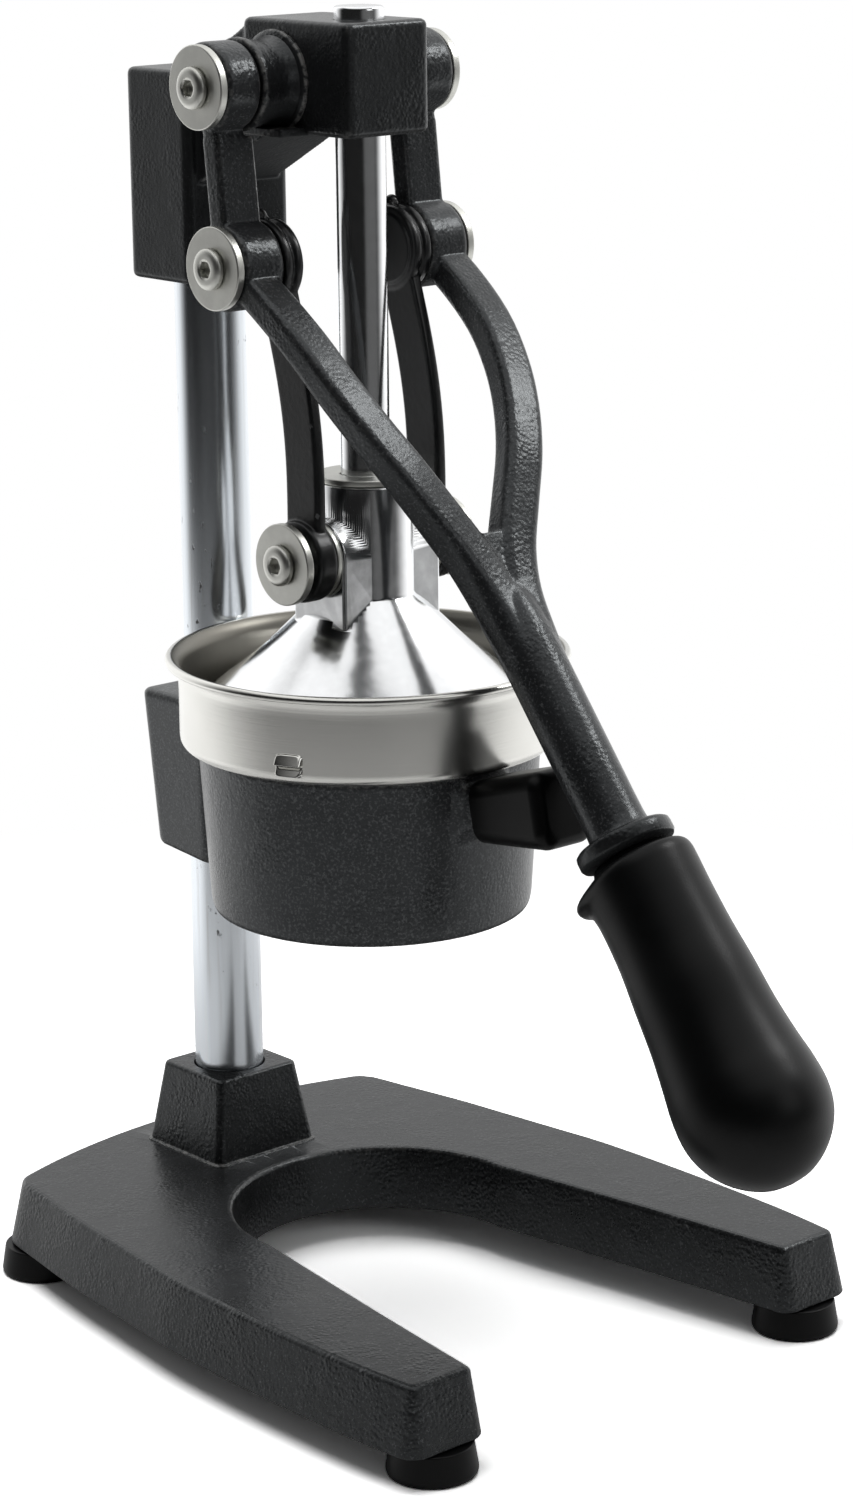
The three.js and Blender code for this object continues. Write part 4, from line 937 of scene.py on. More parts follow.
def stub_form(hx, hz):
    """The bar that carries the bumper."""
    return tipped(block((-hx, hx), (CAP_Y[0] + 3.4, -40), (CAP_Z - hz, CAP_Z + hz), 1.5, 1.0))


def stub_root():
    """The flare where the stub leaves the cup."""
    rows = [(-53.6, 9.4, 7.4, 169.4), (-51, 10.4, 9.2, 167.6), (-48, 12, 11.4, 165.4), (-44, 14, 13.6, 163)]
    return loft([[(x, y, v + z) for x, v, _ in rounded(hx, hz, 3.4, 0)] for y, hx, hz, z in rows])


def make_bumper():
    """The rubber cap on the stub, a little taller towards its front."""
    def ring(y, d, hx=11.0, hz=9.3):
        tall = hz + 2.5 * (CAP_Y[1] - y) / (CAP_Y[1] - CAP_Y[0])
        return [(x, y, v + CAP_Z) for x, v, _ in rounded(hx - d, tall - d, 5.2 - d * 0.4, 0, per=8)]
    rows = [(CAP_Y[0] + up, d) for up, d in edge_steps(3.8, 8)]
    rows += [(CAP_Y[0] + 8, 0), (CAP_Y[1] - 8, 0), (CAP_Y[1] - 0.7, 0.1), (CAP_Y[1], 0.7)]
    cap = loft([ring(y, d) for y, d in rows])
    well = block((-8.3, 8.3), (CAP_Y[0] + 3, CAP_Y[1] + 4), (CAP_Z - 6.3, CAP_Z + 6.3), 1.5, 0.8)
    obj = carve(tipped(cap), [], [tipped(well)])
    obj.name = "bumper"
    place(machined(obj), "frame", "black_rubber", "bumper_cap")


# ---------------------------------------------------------------- sheet and chromed pieces
def sheet_profile(line, thickness):
    """A centre line of (radius, height) given a thickness, as a closed profile."""
    sides = []
    for k in (1, -1):
        side = []
        for i, (r, z) in enumerate(line):
            a, b = line[max(i - 1, 0)], line[min(i + 1, len(line) - 1)]
            length = math.hypot(b[0] - a[0], b[1] - a[1])
            side.append((max(r - k * (b[1] - a[1]) / length * thickness / 2, 0.0),
                         z + k * (b[0] - a[0]) / length * thickness / 2))
        sides.append(side)
    return sides[0] + sides[1][::-1]


SHEET, BAND_R = 1.1, 57.2                               # the sheet's thickness, the band's radius
SEAT_Z = 178.3 + SHEET / 2                              # the shoulder on the cup's rim


def make_funnel():
    """The bowl with its rolled lip, cone and spout in one skin, and the pressed tabs."""
    low, high = box_mm("juice_funnel")
    lip, top = (high.x - low.x) / 2, high.z
    edge = BAND_R - SHEET / 2
    roll = spline([(edge, top - 6.2), (edge + 0.25, top - 4.2), (edge + 1.1, top - 2.3),
                   (edge + 2.3, top - 0.95), (lip - 1.25, top - 0.62), (lip - 0.6, top - 1.25),
                   (lip - 0.75, top - 2.1)], 4)[::-1]
    floor = soften([(edge, top - 8), (edge, SEAT_Z), (46.2, SEAT_Z), (44.2, SEAT_Z - 4),
                    (14.55, 138.1), (13.45, low.z)], [0, 3.0, 1.0, 1.0, 1.5, 0], 5, closed=False)
    funnel = joined("funnel", turn(sheet_profile([tuple(p) for p in roll] + floor, SHEET), 192))
    tab = new_object("tab", tab_form(BAND_R).mesh())
    turns = [(0, 0, math.radians(a)) for a in (-154.6, -34.6, 85.4)]
    tabs = copies("funnel_tabs", tab, [(0, 0, 0)] * 3, turns, finish("bright_steel"))
    place(machined(funnel), "frame", "satin_steel", "juice_funnel", "funnel_cone", "funnel_spout")
    place(machined(tabs), "frame", "satin_steel", look="bright_steel")


def tab_form(band):
    """A pressed tab on the band: a rounded pad in two steps, each leaning out downwards."""
    cols, rows, wide, tall, mid = 26, 52, 4.5, 3.6, 184.3
    points, faces = [], []
    for j in range(rows + 1):
        for i in range(cols + 1):
            u, v = 2 * i / cols - 1, 2 * j / rows - 1
            rise = min(1.0, max(0.0, (1 - (abs(u) ** 6 + abs(v) ** 6) ** (1 / 6)) / 0.16))
            rise = rise * rise * (3 - 2 * rise)
            lean = float(np.interp(v, (-1, -0.08, 0.06, 1), (2.3, 0.2, 2.3, 0.2)))
            r = band - 0.12 + lean * rise
            a = u * wide / band
            points.append((r * math.cos(a), r * math.sin(a), mid + v * tall))
    for j in range(rows):
        for i in range(cols):
            a = j * (cols + 1) + i
            faces.append((a, a + 1, a + cols + 2, a + cols + 1))
    back = len(points)
    ring = [i for i in range(cols + 1)] + [j * (cols + 1) + cols for j in range(1, rows + 1)]
    ring += [rows * (cols + 1) + i for i in range(cols - 1, -1, -1)]
    ring += [j * (cols + 1) for j in range(rows - 1, 0, -1)]
    for i in ring:
        x, y, z = points[i]
        points.append((x * (1 - 0.5 / band), y * (1 - 0.5 / band), z))
    n = len(ring)
    faces += [(ring[k], back + k, back + (k + 1) % n, ring[(k + 1) % n]) for k in range(n)]
    faces.append(tuple(range(back, back + n))[::-1])
    return outward(Form(points, faces))


def make_strainer():
    """The dome with its flange, cut by the slots."""
    flange_z, flange_r = SEAT_Z + SHEET + 0.3, BAND_R - SHEET - 1.5
    line = soften([(flange_r - 1, flange_z), (46.6, flange_z), (43.6, 185.4), (32, 195), (17, 205),
                   (8.5, 209), (0, 210)], [0, 2, 2, 5, 6, 5, 0], 6, closed=False)
    line[-1] = (0.0, line[-1][1])
    profile, n = sheet_profile(line, SHEET), len(line)
    profile[n - 1], profile[n] = (0.0, profile[n - 1][1]), (0.0, profile[n][1])
    dome = joined("strainer_dome", turn(profile, 128))
    dome = slots_tree().grown(dome, {
        "Inner count": 8, "Inner radius": 0.024, "Inner length": 0.014, "Outer count": 12,
        "Outer radius": 0.0384, "Outer length": 0.008, "Width": 0.0026, "Height": 0.032,
        "Material": finish("satin_steel")}, "strainer_dome")
    place(machined(dome), "frame", "satin_steel", "strainer")


def lugs_form(reach=18.9, edge=1.1):
    """The block under the flange whose round ends along X are the pivot lugs."""
    arch = [(LUG_R * math.cos(a), PIVOT_LOW[1] + LUG_R * math.sin(a)) for a in np.linspace(0, math.pi, 49)]
    outline = arch + [(-LUG_R, 208.0), (LUG_R, 208.0)]

    def ring(x, d):
        return [(x, y * (LUG_R - d) / LUG_R, z if z < PIVOT_LOW[1] else
                 PIVOT_LOW[1] + (z - PIVOT_LOW[1]) * (LUG_R - d) / LUG_R) for y, z in outline]
    steps = edge_steps(edge, 5)
    return loft([ring(-reach + up, d) for up, d in steps] + [ring(reach - up, d) for up, d in steps[::-1]])


def make_cone():
    """The press cone, hollow underneath, with its neck and lugs."""
    low, high = box_mm("press_cone")
    neck, seat, ceiling, bore, skirt = 14.4, 224.8, 218.4, ROD_R + FIT, 47.8
    inside = soften([(0, ceiling), (11, ceiling), (20, 212.6), (44.6, 191.4), (47, 188.6), (skirt, low.z)],
                    [0, 2, 6, 3, 1, 0], 5, closed=False)
    slope = [tuple(p) for p in spline([(48.8, 193.4), (44.9, 196.9), (40, 200.5), (30, 208.9), (20, 218.6),
                                       (neck + 0.5, 223.9)], 4)]
    outside = soften([(49.7, low.z), (50.4, 188), (50.2, 190.6), (48.8, 193.4)], [0.4, 1, 2, 0], 4,
                     closed=False) + slope[1:]
    outside += soften([(neck, seat), (neck, high.z), (bore, high.z)], [0, 0.8, 0], 4, closed=False)
    body = turn(inside + outside + [(bore, ROD_LOW.z - FIT), (0, ROD_LOW.z - FIT)], 192)
    void = turn(inside + [(skirt, 150), (0, 150)], 192)
    lugs = carve(lugs_form(), [], [void, rod(bore, ROD_LOW.z - FIT, 300, sides=96)])
    hole = rod(BORE_R, 11.5, 20, axis="x", at=(0, *PIVOT_LOW), sides=48)
    cone = carve(body, [lugs], [hole, hole.mirrored(),
                                rod(CONE_BOLT_HOLE, ceiling - 2, ROD_LOW.z + 1, sides=32)])
    cone.name = "cone"
    place(machined(cone), "plunger", "polished_chrome", "press_cone", look="polished_cone")


def make_ring(name, node, body, bore, edge, y=0.0, sides=96):
    """An upright nickel ring, as wide and tall as the frame node that it stands for."""
    low, high = box_mm(node)
    ring = tube(bore, (high.x - low.x) / 2, low.z, high.z, edge, at=(0, y, 0), sides=sides)
    place(machined(joined(name, ring)), body, "nickel", node)


def make_rod():
    """The plunger rod and the flange round its foot."""
    profile = [(0, ROD_LOW.z), (ROD_R, ROD_LOW.z), (ROD_R, ROD_HIGH.z), (0, ROD_HIGH.z)]
    shaft = joined("plunger_rod", turn(soften(profile, [0, 0.5, 1.3, 0], 5), 128))
    place(machined(shaft), "plunger", "polished_chrome", "press_rod", look="chromed_rod")
    make_ring("flange", "rod_flange", "plunger", ROD_R + FIT, 0.45, sides=128)


# ---------------------------------------------------------------- lever, links and grip
# the right yoke arm's middle line: distance along the lever, X, rise off its line
YOKE = [(0, 36.4, 0), (16, 36.4, 5.8), (34, 35.2, 10.2), (50, 32.6, 11.4), (64, 28.4, 11.2),
        (78, 22.4, 9.8), (92, 15, 6.6), (105, 8.4, 3.4), (118, 4.4, 1.2), (132, 2.4, 0.4), (144, 1, 0)]


def swept(path, hw, ht, corner, normal, grow=(0, 0, 0)):
    """A rounded bar along a path, its thickness facing normal, larger by grow at the far end."""
    rings, n = [], len(path)
    for i, p in enumerate(path):
        t = (path[min(i + 1, n - 1)] - path[max(i - 1, 0)]).normalized()
        wide = t.cross(normal).normalized()
        thick = wide.cross(t).normalized()
        w, h, c = (size + more * (i / (n - 1)) ** 3 for size, more in zip((hw, ht, corner), grow))
        rings.append([tuple(p + wide * a + thick * b) for a, b, _ in rounded(w, h, c, 0)])
    return loft(rings)


def eye_form(at, inner, outer, radius=EYE_R, edge=1.6):
    """The disc round an eye, from inner to outer along X."""
    return rod(radius, inner, outer, edge, "x", (0, *at), 96)


def make_lever():
    """The upper bars with their eyes, the yoke arms, the shaft and the tang; and its collar."""
    path = [Vector(along(*row)) for row in spline(YOKE, 4)]
    arm = swept(path, 6.0, 4.6, 2.0, RISE, (1.5, 3.3, 4.8))
    crotch = [Vector(along(s, 0, off)) for s, off in ((99.5, 3.6), (106, 2.4), (113, 1.6))]
    web = swept(crotch, 8, 5.0, 3.0, RISE)
    top, mid = Vector((0, *PIVOT_TOP)), Vector((0, *PIVOT_MID))
    line = (mid - top).normalized()
    side = Vector((0, -line.z, line.y))
    start, x = top + line * 14.8, (28.4, 42.2)
    beside = Vector((sum(x) / 2, 0, 0))
    bar = swept([start + beside, start.lerp(mid, 0.5) + beside, mid + beside],
                (x[1] - x[0]) / 2, 3.9, 1.7, side)
    neck = swept([top + Vector((36.8, 0, 0)), mid + Vector((36.8, 0, 0))], 5.4, 3.7, 2.0, side)
    bits = [arm, bar, neck, eye_form(PIVOT_TOP, 31, 42.6), eye_form(PIVOT_MID, 28.4, 42.6)]
    holes = [rod(BUSH_R, 30, 44, axis="x", at=(0, *PIVOT_TOP)),
             rod(BORE_R, 27, 44, axis="x", at=(0, *PIVOT_MID))]
    shaft = loft([shaft_ring(s, r) for s, r in spline(
        [(106, 3.4), (112, 6.2), (122, 8.2), (132, 8.9), (144, 9.0), (170, 9.0), (192, 9.0), (196, 9.9),
         (198, 11.2)], 3)])
    collar = loft([shaft_ring(s, r) for s, r in
                   [(196.0, 11), (196.2, 13.6), (196.8, 14.4), (197.8, 14.6), (200.2, 14.6), (201.2, 14.0),
                    (201.8, 11.6)]])
    tang = loft([shaft_ring(s, 7.0) for s in (200, 226)])
    forms = [shaft, tang, web] + bits[1:] + [b.mirrored() for b in bits]
    obj = carve(arm, forms, holes + [h.mirrored() for h in holes])
    obj = cast(obj, "lever", sizes().casting_grid / MM, 2)
    place(obj, "lever", "charcoal_casting", "lever_casting", look="charcoal_lever")
    place(machined(joined("collar", collar)), "lever", "charcoal_casting", look="charcoal_rims")


# the grip's rings: distance along the lever, radius, lean, swelling below, drop
GRIP = [(204.2, 12.6, 0.06, 0, 0), (205.4, 15, 0.1, 3.2, 0), (206.6, 16.3, 0.11, 6.8, 0),
        (208.6, 16.9, 0.12, 5.4, 0), (211, 17, 0.1, 2, 0), (214.5, 17, 0.06, 0.5, 0),
        (220, 17, 0.01, 0, 0), (231, 17.3, 0, 0, 0), (243, 18.3, 0, 0, 0.3), (256, 19.2, 0, 0, 0.8),
        (267, 20.6, 0, 0, 1.2), (275, 21.8, 0, 0, 1.3), (283, 22.1, 0, 0, 1.2), (290, 20.5, 0, 0, 1),
        (296, 17, 0, 0, 0.9), (300.6, 12.2, 0, 0, 0.8), (303.6, 6.6, 0, 0, 0.8), (304.7, 0.4, 0, 0, 0.8)]


def make_grip():
    """The hand grip with its finger stop, hollow where the tang goes in."""
    mouth = 202.2
    rings = [shaft_ring(s, r) for s, r in ((228, 7.3), (mouth, 7.3), (mouth, 10.6), (mouth + 0.4, 11.8))]
    rings += [shaft_ring(s, max(r, 0.3), k, stop, drop) for s, r, k, stop, drop in spline(GRIP, 5)]
    grip = joined("grip", loft(rings))
    place(machined(grip), "lever", "black_grip", "hand_grip")


CLOSED_X = 22.4                                         # where the links' upper eyes close inwards


def make_links():
    """The two curved links with their eyes, the groove in the upper ones and the knob beside it."""
    def line(t):
        y = PIVOT_LOW[0] + (PIVOT_MID[0] - PIVOT_LOW[0]) * t
        z = PIVOT_LOW[1] + (PIVOT_MID[1] - PIVOT_LOW[1]) * t
        return Vector((23.55, y - 0.6 - 5 * math.sin(math.pi * t) ** 1.15, z))
    path = [line(t) for t in np.linspace(0, 1, 33)]
    rings, last = [], len(path) - 1
    for i, p in enumerate(path):
        t = (path[min(i + 1, last)] - path[max(i - 1, 0)]).normalized()
        across = Vector((0, t.z, -t.y))
        rings.append([tuple(p + Vector((a, 0, 0)) + across * b) for a, b, _ in rounded(1.95, 7.2, 1.1, 0)])
    bar = loft(rings)
    grooved = soften([(0, 21.2), (EYE_R - 0.7, 21.2), (EYE_R, 22.0), (EYE_R, 23.9), (EYE_R - 0.9, 24.2),
                      (EYE_R - 0.9, 25.2), (EYE_R, 25.5), (EYE_R, 27.9), (0, 27.9)],
                     [0, 0.5, 0.3, 0.3, 0.2, 0.2, 0.3, 0.6, 0], 3)
    upper = turn(grooved, 96, "x", (0, *PIVOT_MID))
    lower = eye_form(PIVOT_LOW, 21.0, 27.7, EYE_R - 0.6, 1.0)
    face = rod(10.4, 20.6, 22, 0.5, "x", (0, *PIVOT_MID), 96)
    pip = turn([(0, -2.3)] + [(2.3 * math.cos(a), 2.3 * math.sin(a)) for a in np.linspace(-1.4, 1.4, 13)]
               + [(0, 2.3)], 24, at=(25.4, PIVOT_MID[0] + 2.6, PIVOT_MID[1] + 13.2))
    holes = [rod(BUSH_R, CLOSED_X, 30, axis="x", at=(0, *PIVOT_MID)),
             rod(BORE_R, 20, 30, axis="x", at=(0, *PIVOT_LOW))]
    for where, side in SIDES:
        forms = [f if side > 0 else f.mirrored() for f in (bar, upper, lower, face, pip, *holes)]
        obj = carve(forms[0], forms[1:5], forms[5:])
        obj = cast(obj, f"link_bar_{where}", sizes().casting_grid / MM * 0.8, 2)
        place(obj, f"link_{where}", "dark_paint", f"link_{where}")


# ---------------------------------------------------------------- washers, bolts and bushes
def make_rings(node, body, slot, edge):
    """The pair of rings round a pivot line, left and right, as thick and wide as the frame's."""
    names = [f"{node}_{where}" for where, _ in SIDES]
    low, high = box_mm(names[-1])
    obj = washer_tree().grown(spots([centre(name) for name in names], [(0, math.pi / 2, 0)] * 2), {
        "Bore radius": BORE_R * MM, "Outer radius": (high.z - low.z) / 2 * MM,
        "Thickness": (high.x - low.x) * MM, "Edge": edge * MM, "Material": finish(slot)}, node + "s")
    place(machined(obj), body, slot, *names)


def socket_head(shank_to, head_r, head_h, shank_r, hex_r):
    """A button-head screw along +X: under its head X = 0, its shank ends at shank_to."""
    dome = [(head_r * math.cos(a) * 0.36 + head_r * 0.64, head_h * 0.45 + head_h * 0.55 * math.sin(a))
            for a in np.linspace(0, math.pi / 2, 9)]
    profile = soften([(0, shank_to), (shank_r, shank_to), (shank_r, 0)], [0, 0.6, 0], 3, closed=False)
    profile += [(head_r - 0.25, 0), (head_r, 0.3)] + dome + [(hex_r + 0.7, head_h), (0, head_h)]
    head = turn(profile, 64, "x")
    recess = hexagon(hex_r, head_h - 2.2, head_h + 2, 0.01)
    recess.points = recess.points[:, [2, 0, 1]]
    rim = turn([(0, head_h - 0.35), (hex_r - 0.1, head_h - 0.35), (hex_r + 0.45, head_h + 0.2),
                (0, head_h + 0.2)], 48, "x")
    return carve(head, [], [recess, rim])


def make_bolt_pair(node, body):
    """Two pivot bolts, one on each side, head outwards."""
    low, high = box_mm(f"{node}_right")
    y, z = centre(f"{node}_right")[1:]
    head, shank_r = 2.5, 4.1
    seat = high.x - head
    bolt = socket_head(low.x - seat, (high.z - low.z) / 2, head, shank_r, sizes().hex_radius / MM)
    obj = copies(node + "s", bolt, [(seat, y, z), (-seat, y, z)], [(0, 0, 0), (0, 0, math.pi)],
                 finish("nickel"))
    place(machined(obj), body, "nickel", f"{node}_left", f"{node}_right")


def make_bolts():
    """The bolts of the three pivot lines."""
    make_bolt_pair("upper_pivot_bolt", "frame")
    make_bolt_pair("middle_pivot_bolt", "lever")
    make_bolt_pair("lower_pivot_bolt", "plunger")


def make_washers():
    """The washers and spacers of the three pivot lines."""
    for node, body, edge in (("upper_pivot_washer", "frame", 0.45), ("middle_pivot_washer", "lever", 0.45),
                             ("lower_pivot_washer", "plunger", 0.45), ("lower_pivot_spacer", "plunger", 0.25),
                             ("lower_thrust_washer", "plunger", 0.3)):
        make_rings(node, body, "nickel", edge)


def make_screws():
    """Foot screws, set screws, and the bolts under the base and in the cone."""
    nickel = finish("nickel")
    pan_head = soften([(0, 14.3), (0.6, 14.3), (2, 12.6), (2, 2.3), (4.2, 2.3), (4.2, 1.2), (2.6, 0),
                       (0, 0)], [0, 0, 0, 0, 0.2, 1.0, 0.8, 0], 4)
    cross = [block((-x, x), (-y, y), (-1, 1.3), 0.05, 0.05) for x, y in ((0.45, 2), (2, 0.45))]
    names = [node.replace("foot", "foot_screw") for node in FEET]
    low, _ = box_mm(names[0])
    obj = copies("foot_screws", carve(turn(pan_head, 40), [], cross),
                 [(*centre(name)[:2], low.z) for name in names], None, nickel)
    place(machined(obj), "frame", "nickel", *names)

    grub = turn(soften([(0, 0), (2.0, 0), (3, 1.0), (3, 6.5), (0, 6.5)], [0, 0.3, 0.3, 0.4, 0], 3), 40, "y")
    recess = hexagon(1.5, 3.5, 8, 0.01)
    recess.points = recess.points[:, [1, 2, 0]]
    names = ["head_set_screw_lower", "head_set_screw_upper", "cup_set_screw_lower", "cup_set_screw_upper"]
    obj = copies("set_screws", carve(grub, [], [recess]),
                 [(0, box_mm(name)[0].y, centre(name)[2]) for name in names], None, nickel)
    place(machined(obj), "frame", "nickel", *names)

    low, high = box_mm("post_bolt")
    bolt = carve(hexagon(6.4, low.z, low.z + 6, 0.8).moved((0, POST_Y, 0)),
                 [rod(3.9, low.z + 5, high.z, 0.4, at=(0, POST_Y, 0), sides=32)])
    place(machined(bolt), "frame", "nickel", "post_bolt").name = "base_bolt"
    make_ring("base_washer", "post_bolt_washer", "frame", POST_BOLT_HOLE, 0.3, POST_Y)
    make_ring("tube_plug", "post_plug", "frame", POST_BOLT_HOLE, 0.4, POST_Y)
    low, high = box_mm("cone_bolt")
    bolt = carve(hexagon(6, low.z, low.z + 4, 0.8), [rod(2.4, low.z + 3, high.z, 0.3, sides=32)])
    bolt.name = "cone_screw"
    place(machined(bolt), "plunger", "nickel", "cone_bolt")
    make_ring("cone_washer", "cone_bolt_washer", "plunger", CONE_BOLT_HOLE, 0.3)


def make_bushes():
    """Bronze bushes round the rod and in the eyes."""
    for where in ("upper", "lower"):
        low, high = box_mm(f"rod_guide_bush_{where}")
        bush = joined(f"guide_bush_{where}", tube(ROD_R + FIT, (high.x - low.x) / 2, low.z,
                                                  min(high.z, LIP_Z), 0.3))
        place(machined(bush), "frame", "bronze", f"rod_guide_bush_{where}")
    make_rings("upper_pivot_bush", "lever", "bronze", 0.3)
    for where, _ in SIDES:
        node = f"link_bush_{where}"
        low, high = box_mm(node)
        ends = (max(low.x, CLOSED_X), high.x) if low.x > 0 else (low.x, min(high.x, -CLOSED_X))
        bush = joined(f"eye_bush_{where}", tube(BORE_R, (high.z - low.z) / 2, *ends, 0.3, "x",
                                                (0, *centre(node)[1:])))
        place(machined(bush), f"link_{where}", "bronze", node)


# ---------------------------------------------------------------- stage
PLACE, LENS = (-0.71215, -0.83778, 0.46508), 90.16      # the camera, in metres, and its lens
FORWARD, RIGHT = Vector((0.63762, 0.72676, -0.25545)), Vector((0.74980, -0.66157, -0.01063))


def area_light(name, place_at, aim, size, power):
    """A white panel that faces the point aim."""
    light = bpy.data.lights.new(name, "AREA")
    light.shape, light.size, light.size_y, light.energy = "RECTANGLE", *size, power
    obj = new_object(name, light)
    obj.location = place_at
    obj.rotation_euler = (Vector(aim) - Vector(place_at)).to_track_quat("-Z", "Y").to_euler()
    return obj


def level(way):
    """A direction without its rise."""
    return Vector((way.x, way.y, 0)).normalized()


def dark_side():
    """The level direction from the press to the unlit side of the room, where the viewer stands."""
    return level(-FORWARD - RIGHT * 0.1)


def room_level(paint, ahead):
    """The room's strength all round: unlit ahead, where the viewer stands, and white behind."""
    return paint.maximum(ahead.within(0.3, -0.62) * 1.28, sizes().room)


def make_world():
    """White all round for the camera; for gloss, a room that is dark where the viewer stands."""
    sky = Paint("Studio", bpy.data.worlds, "Generated")
    bpy.context.scene.world = sky.material

    def towards(way):
        return sky.measure("DOT_PRODUCT", sky.coordinates, tuple(Vector(way).normalized()))

    def chosen(factor, a, b):
        return sky.node("Mix", {"data_type": "FLOAT"}, {0: factor, 2: a, 3: b})
    low_back = towards(FORWARD * Vector((1, 1, -1))).within(0.88, 0.97)
    above = towards((0, 0, 1)).within(0.62, 0.86)
    strip = towards(level(-FORWARD) + level(RIGHT) * 0.95).within(0.8, 0.95)
    around = room_level(sky, towards(dark_side())) * (1.0 - low_back * 0.35)
    room = sky.maximum(around, above * 1.1) + strip * 0.1
    camera_ray = sky.node("LightPath", out="Is Camera Ray")
    through = sky.node("LightPath", out="Is Transmission Ray")
    lit = chosen(sky.node("LightPath", out="Is Glossy Ray"), sizes().fill, room)
    strength = chosen(sky.maximum(camera_ray, through), lit, 1.0)
    back = sky.node("Background", inputs={"Color": (1, 1, 1), "Strength": strength})
    sky.node("OutputWorld", inputs={"Surface": back})


def floor_material():
    """A pale floor, white far off, that gloss sees darker near by and as the room's walls far off."""
    paint = Paint("Pale floor")

    def grey(kind, value, **more):
        return paint.node(kind, inputs={"Color": (value, value, value), **more})
    where = paint.measure("LENGTH", paint.coordinates)
    lit = paint.node("BsdfPrincipled", inputs={"Base Color": (0.93, 0.93, 0.93), "Roughness": 0.7,
                                               "Specular IOR Level": 0.2})
    pale = grey("BsdfDiffuse", 0.8)
    brighter = paint.added(lit, paint.added(paint.added(pale, pale), grey("BsdfDiffuse", 0.9)))
    seen = paint.node("LightPath", out="Is Camera Ray")
    mirrored = paint.node("LightPath", out="Is Glossy Ray")
    close = paint.mixed(paint.maximum(seen, mirrored * 0.17), lit, brighter)
    shown = paint.mixed(seen * (1 - where.within(0.55, 0.2)), close, grey("Emission", 1, Strength=1.0))

    way = paint.node("VectorMath", {"operation": "NORMALIZE"}, {0: paint.coordinates})
    ahead = paint.measure("DOT_PRODUCT", way, tuple(dark_side()))
    sheet, edge = 0.44 + ahead.within(0.7, -0.15) * 0.8, where.within(0.75, 1.05)
    strength = sheet * (1.0 - edge) + room_level(paint, ahead) * edge
    brightest = 1.3
    room = paint.mixed(strength * (1 / brightest), grey("Emission", 0, Strength=0.0),
                       grey("Emission", 1, Strength=brightest))
    shown = paint.mixed(mirrored * where.within(0.25, 0.45), shown, room)
    paint.node("OutputMaterial", inputs={"Surface": shown})
    return paint.material


def make_stage():
    """The floor, the three panels, the camera and the world."""
    reach, deep = 1.1, 4
    mesh = turn([(0, 0), (reach, 0), (reach, -deep / reach), (0, -deep)], 96).mesh("floor")
    mesh.transform(Matrix.Scale(1 / MM, 4))                 # these sizes are in metres
    mesh.materials.append(floor_material())
    floor = new_object("floor", mesh)

    overhead = area_light("overhead softbox", (0.1, 0.25, 1.5), (0, 0, 0.15), (1.5, 1.3), sizes().overhead)
    overhead.visible_glossy = False
    key = area_light("key", (0.77, -0.54, 1.13), (0, 0, 0.36), (0.32, 0.32), sizes().key)
    key.visible_diffuse = False
    area_light("front panel", (0.35, -1.6, 0.95), (0, 0, 0.2), (0.8, 0.8), sizes().front)

    camera = new_object("camera", bpy.data.cameras.new("camera"))
    forward, right = FORWARD.normalized(), RIGHT.normalized()
    up = right.cross(forward).normalized()
    camera.matrix_world = Matrix.Translation(PLACE) @ Matrix((right, up, -forward)).transposed().to_4x4()
    camera.data.sensor_width, camera.data.lens = 36, LENS
    camera.data.clip_start, camera.data.clip_end = 0.05, 50
    bpy.context.scene.camera = camera
    make_world()
    bpy.context.scene.view_settings.view_transform = "Standard"


# ---------------------------------------------------------------- add-on
def length(name, default, description):
    """A length that the panel shows in the scene's unit."""
    return FloatProperty(name=name, default=default, description=description, unit="LENGTH", min=0.0)


def tint(name, default, description):
    """A colour."""
    return FloatVectorProperty(name=name, default=default, description=description, subtype="COLOR",
                               size=3, min=0.0, max=1.0)


class PressSizes(bpy.types.PropertyGroup):
    """Sizes that the builders read."""
    base_edge: length("Base edge", 0.0016, "Radius along the upper edge of the base")
    casting_grid: length("Casting grid", 0.0006, "Spacing of the faces on head, lever, cup and links")
    grain: length("Grain", 0.0012, "Size of the pebbles in the powder coat")
    hex_radius: length("Hex radius", 0.0026, "Half the distance across the corners of the bolts' sockets")
    fill: FloatProperty(name="Fill", default=0.07, description="Strength of the all-round light", min=0.0)
    room: FloatProperty(name="Room", default=0.012, description="Strength of the unlit side", min=0.0)
    overhead: FloatProperty(name="Overhead", default=13.0, description="Overhead softbox", unit="POWER")
    key: FloatProperty(name="Key", default=4.9, description="Small softbox high on the right", unit="POWER")
    front: FloatProperty(name="Front", default=2.3, description="Panel in front", unit="POWER")


class PressColours(bpy.types.PropertyGroup):
    """Colours of the finishes."""
    casting: tint("Casting", (0.0155, 0.0162, 0.0172), "Powder coat on the castings")
    enamel: tint("Enamel", (0.009, 0.0097, 0.0106), "Paint on the links")
    nickel: tint("Nickel", (0.66, 0.66, 0.62), "Plate on washers and bolts")
    plate: tint("Plate", (0.78, 0.82, 0.86), "Zinc plate on the post")
    sheet: tint("Sheet", (0.74, 0.735, 0.70), "Stainless sheet of the bowl")
    chrome: tint("Chrome", (0.90, 0.91, 0.92), "Chrome on cone and rod")
    bronze: tint("Bronze", (0.55, 0.36, 0.17), "Bushes")
    rubber: tint("Rubber", (0.003, 0.0031, 0.0033), "Feet and bumper")
    grip: tint("Grip", (0.0045, 0.0048, 0.005), "Hand grip")


class Builder:
    """What every operator here does: it runs its own build."""
    bl_options = {"REGISTER", "UNDO"}

    def execute(self, context):
        self.build()
        return {"FINISHED"}


class PRESS_OT_base(Builder, bpy.types.Operator):
    """Cast the horseshoe base with its post socket"""
    bl_idname, bl_label, build = "press.base", "Base", staticmethod(make_base)


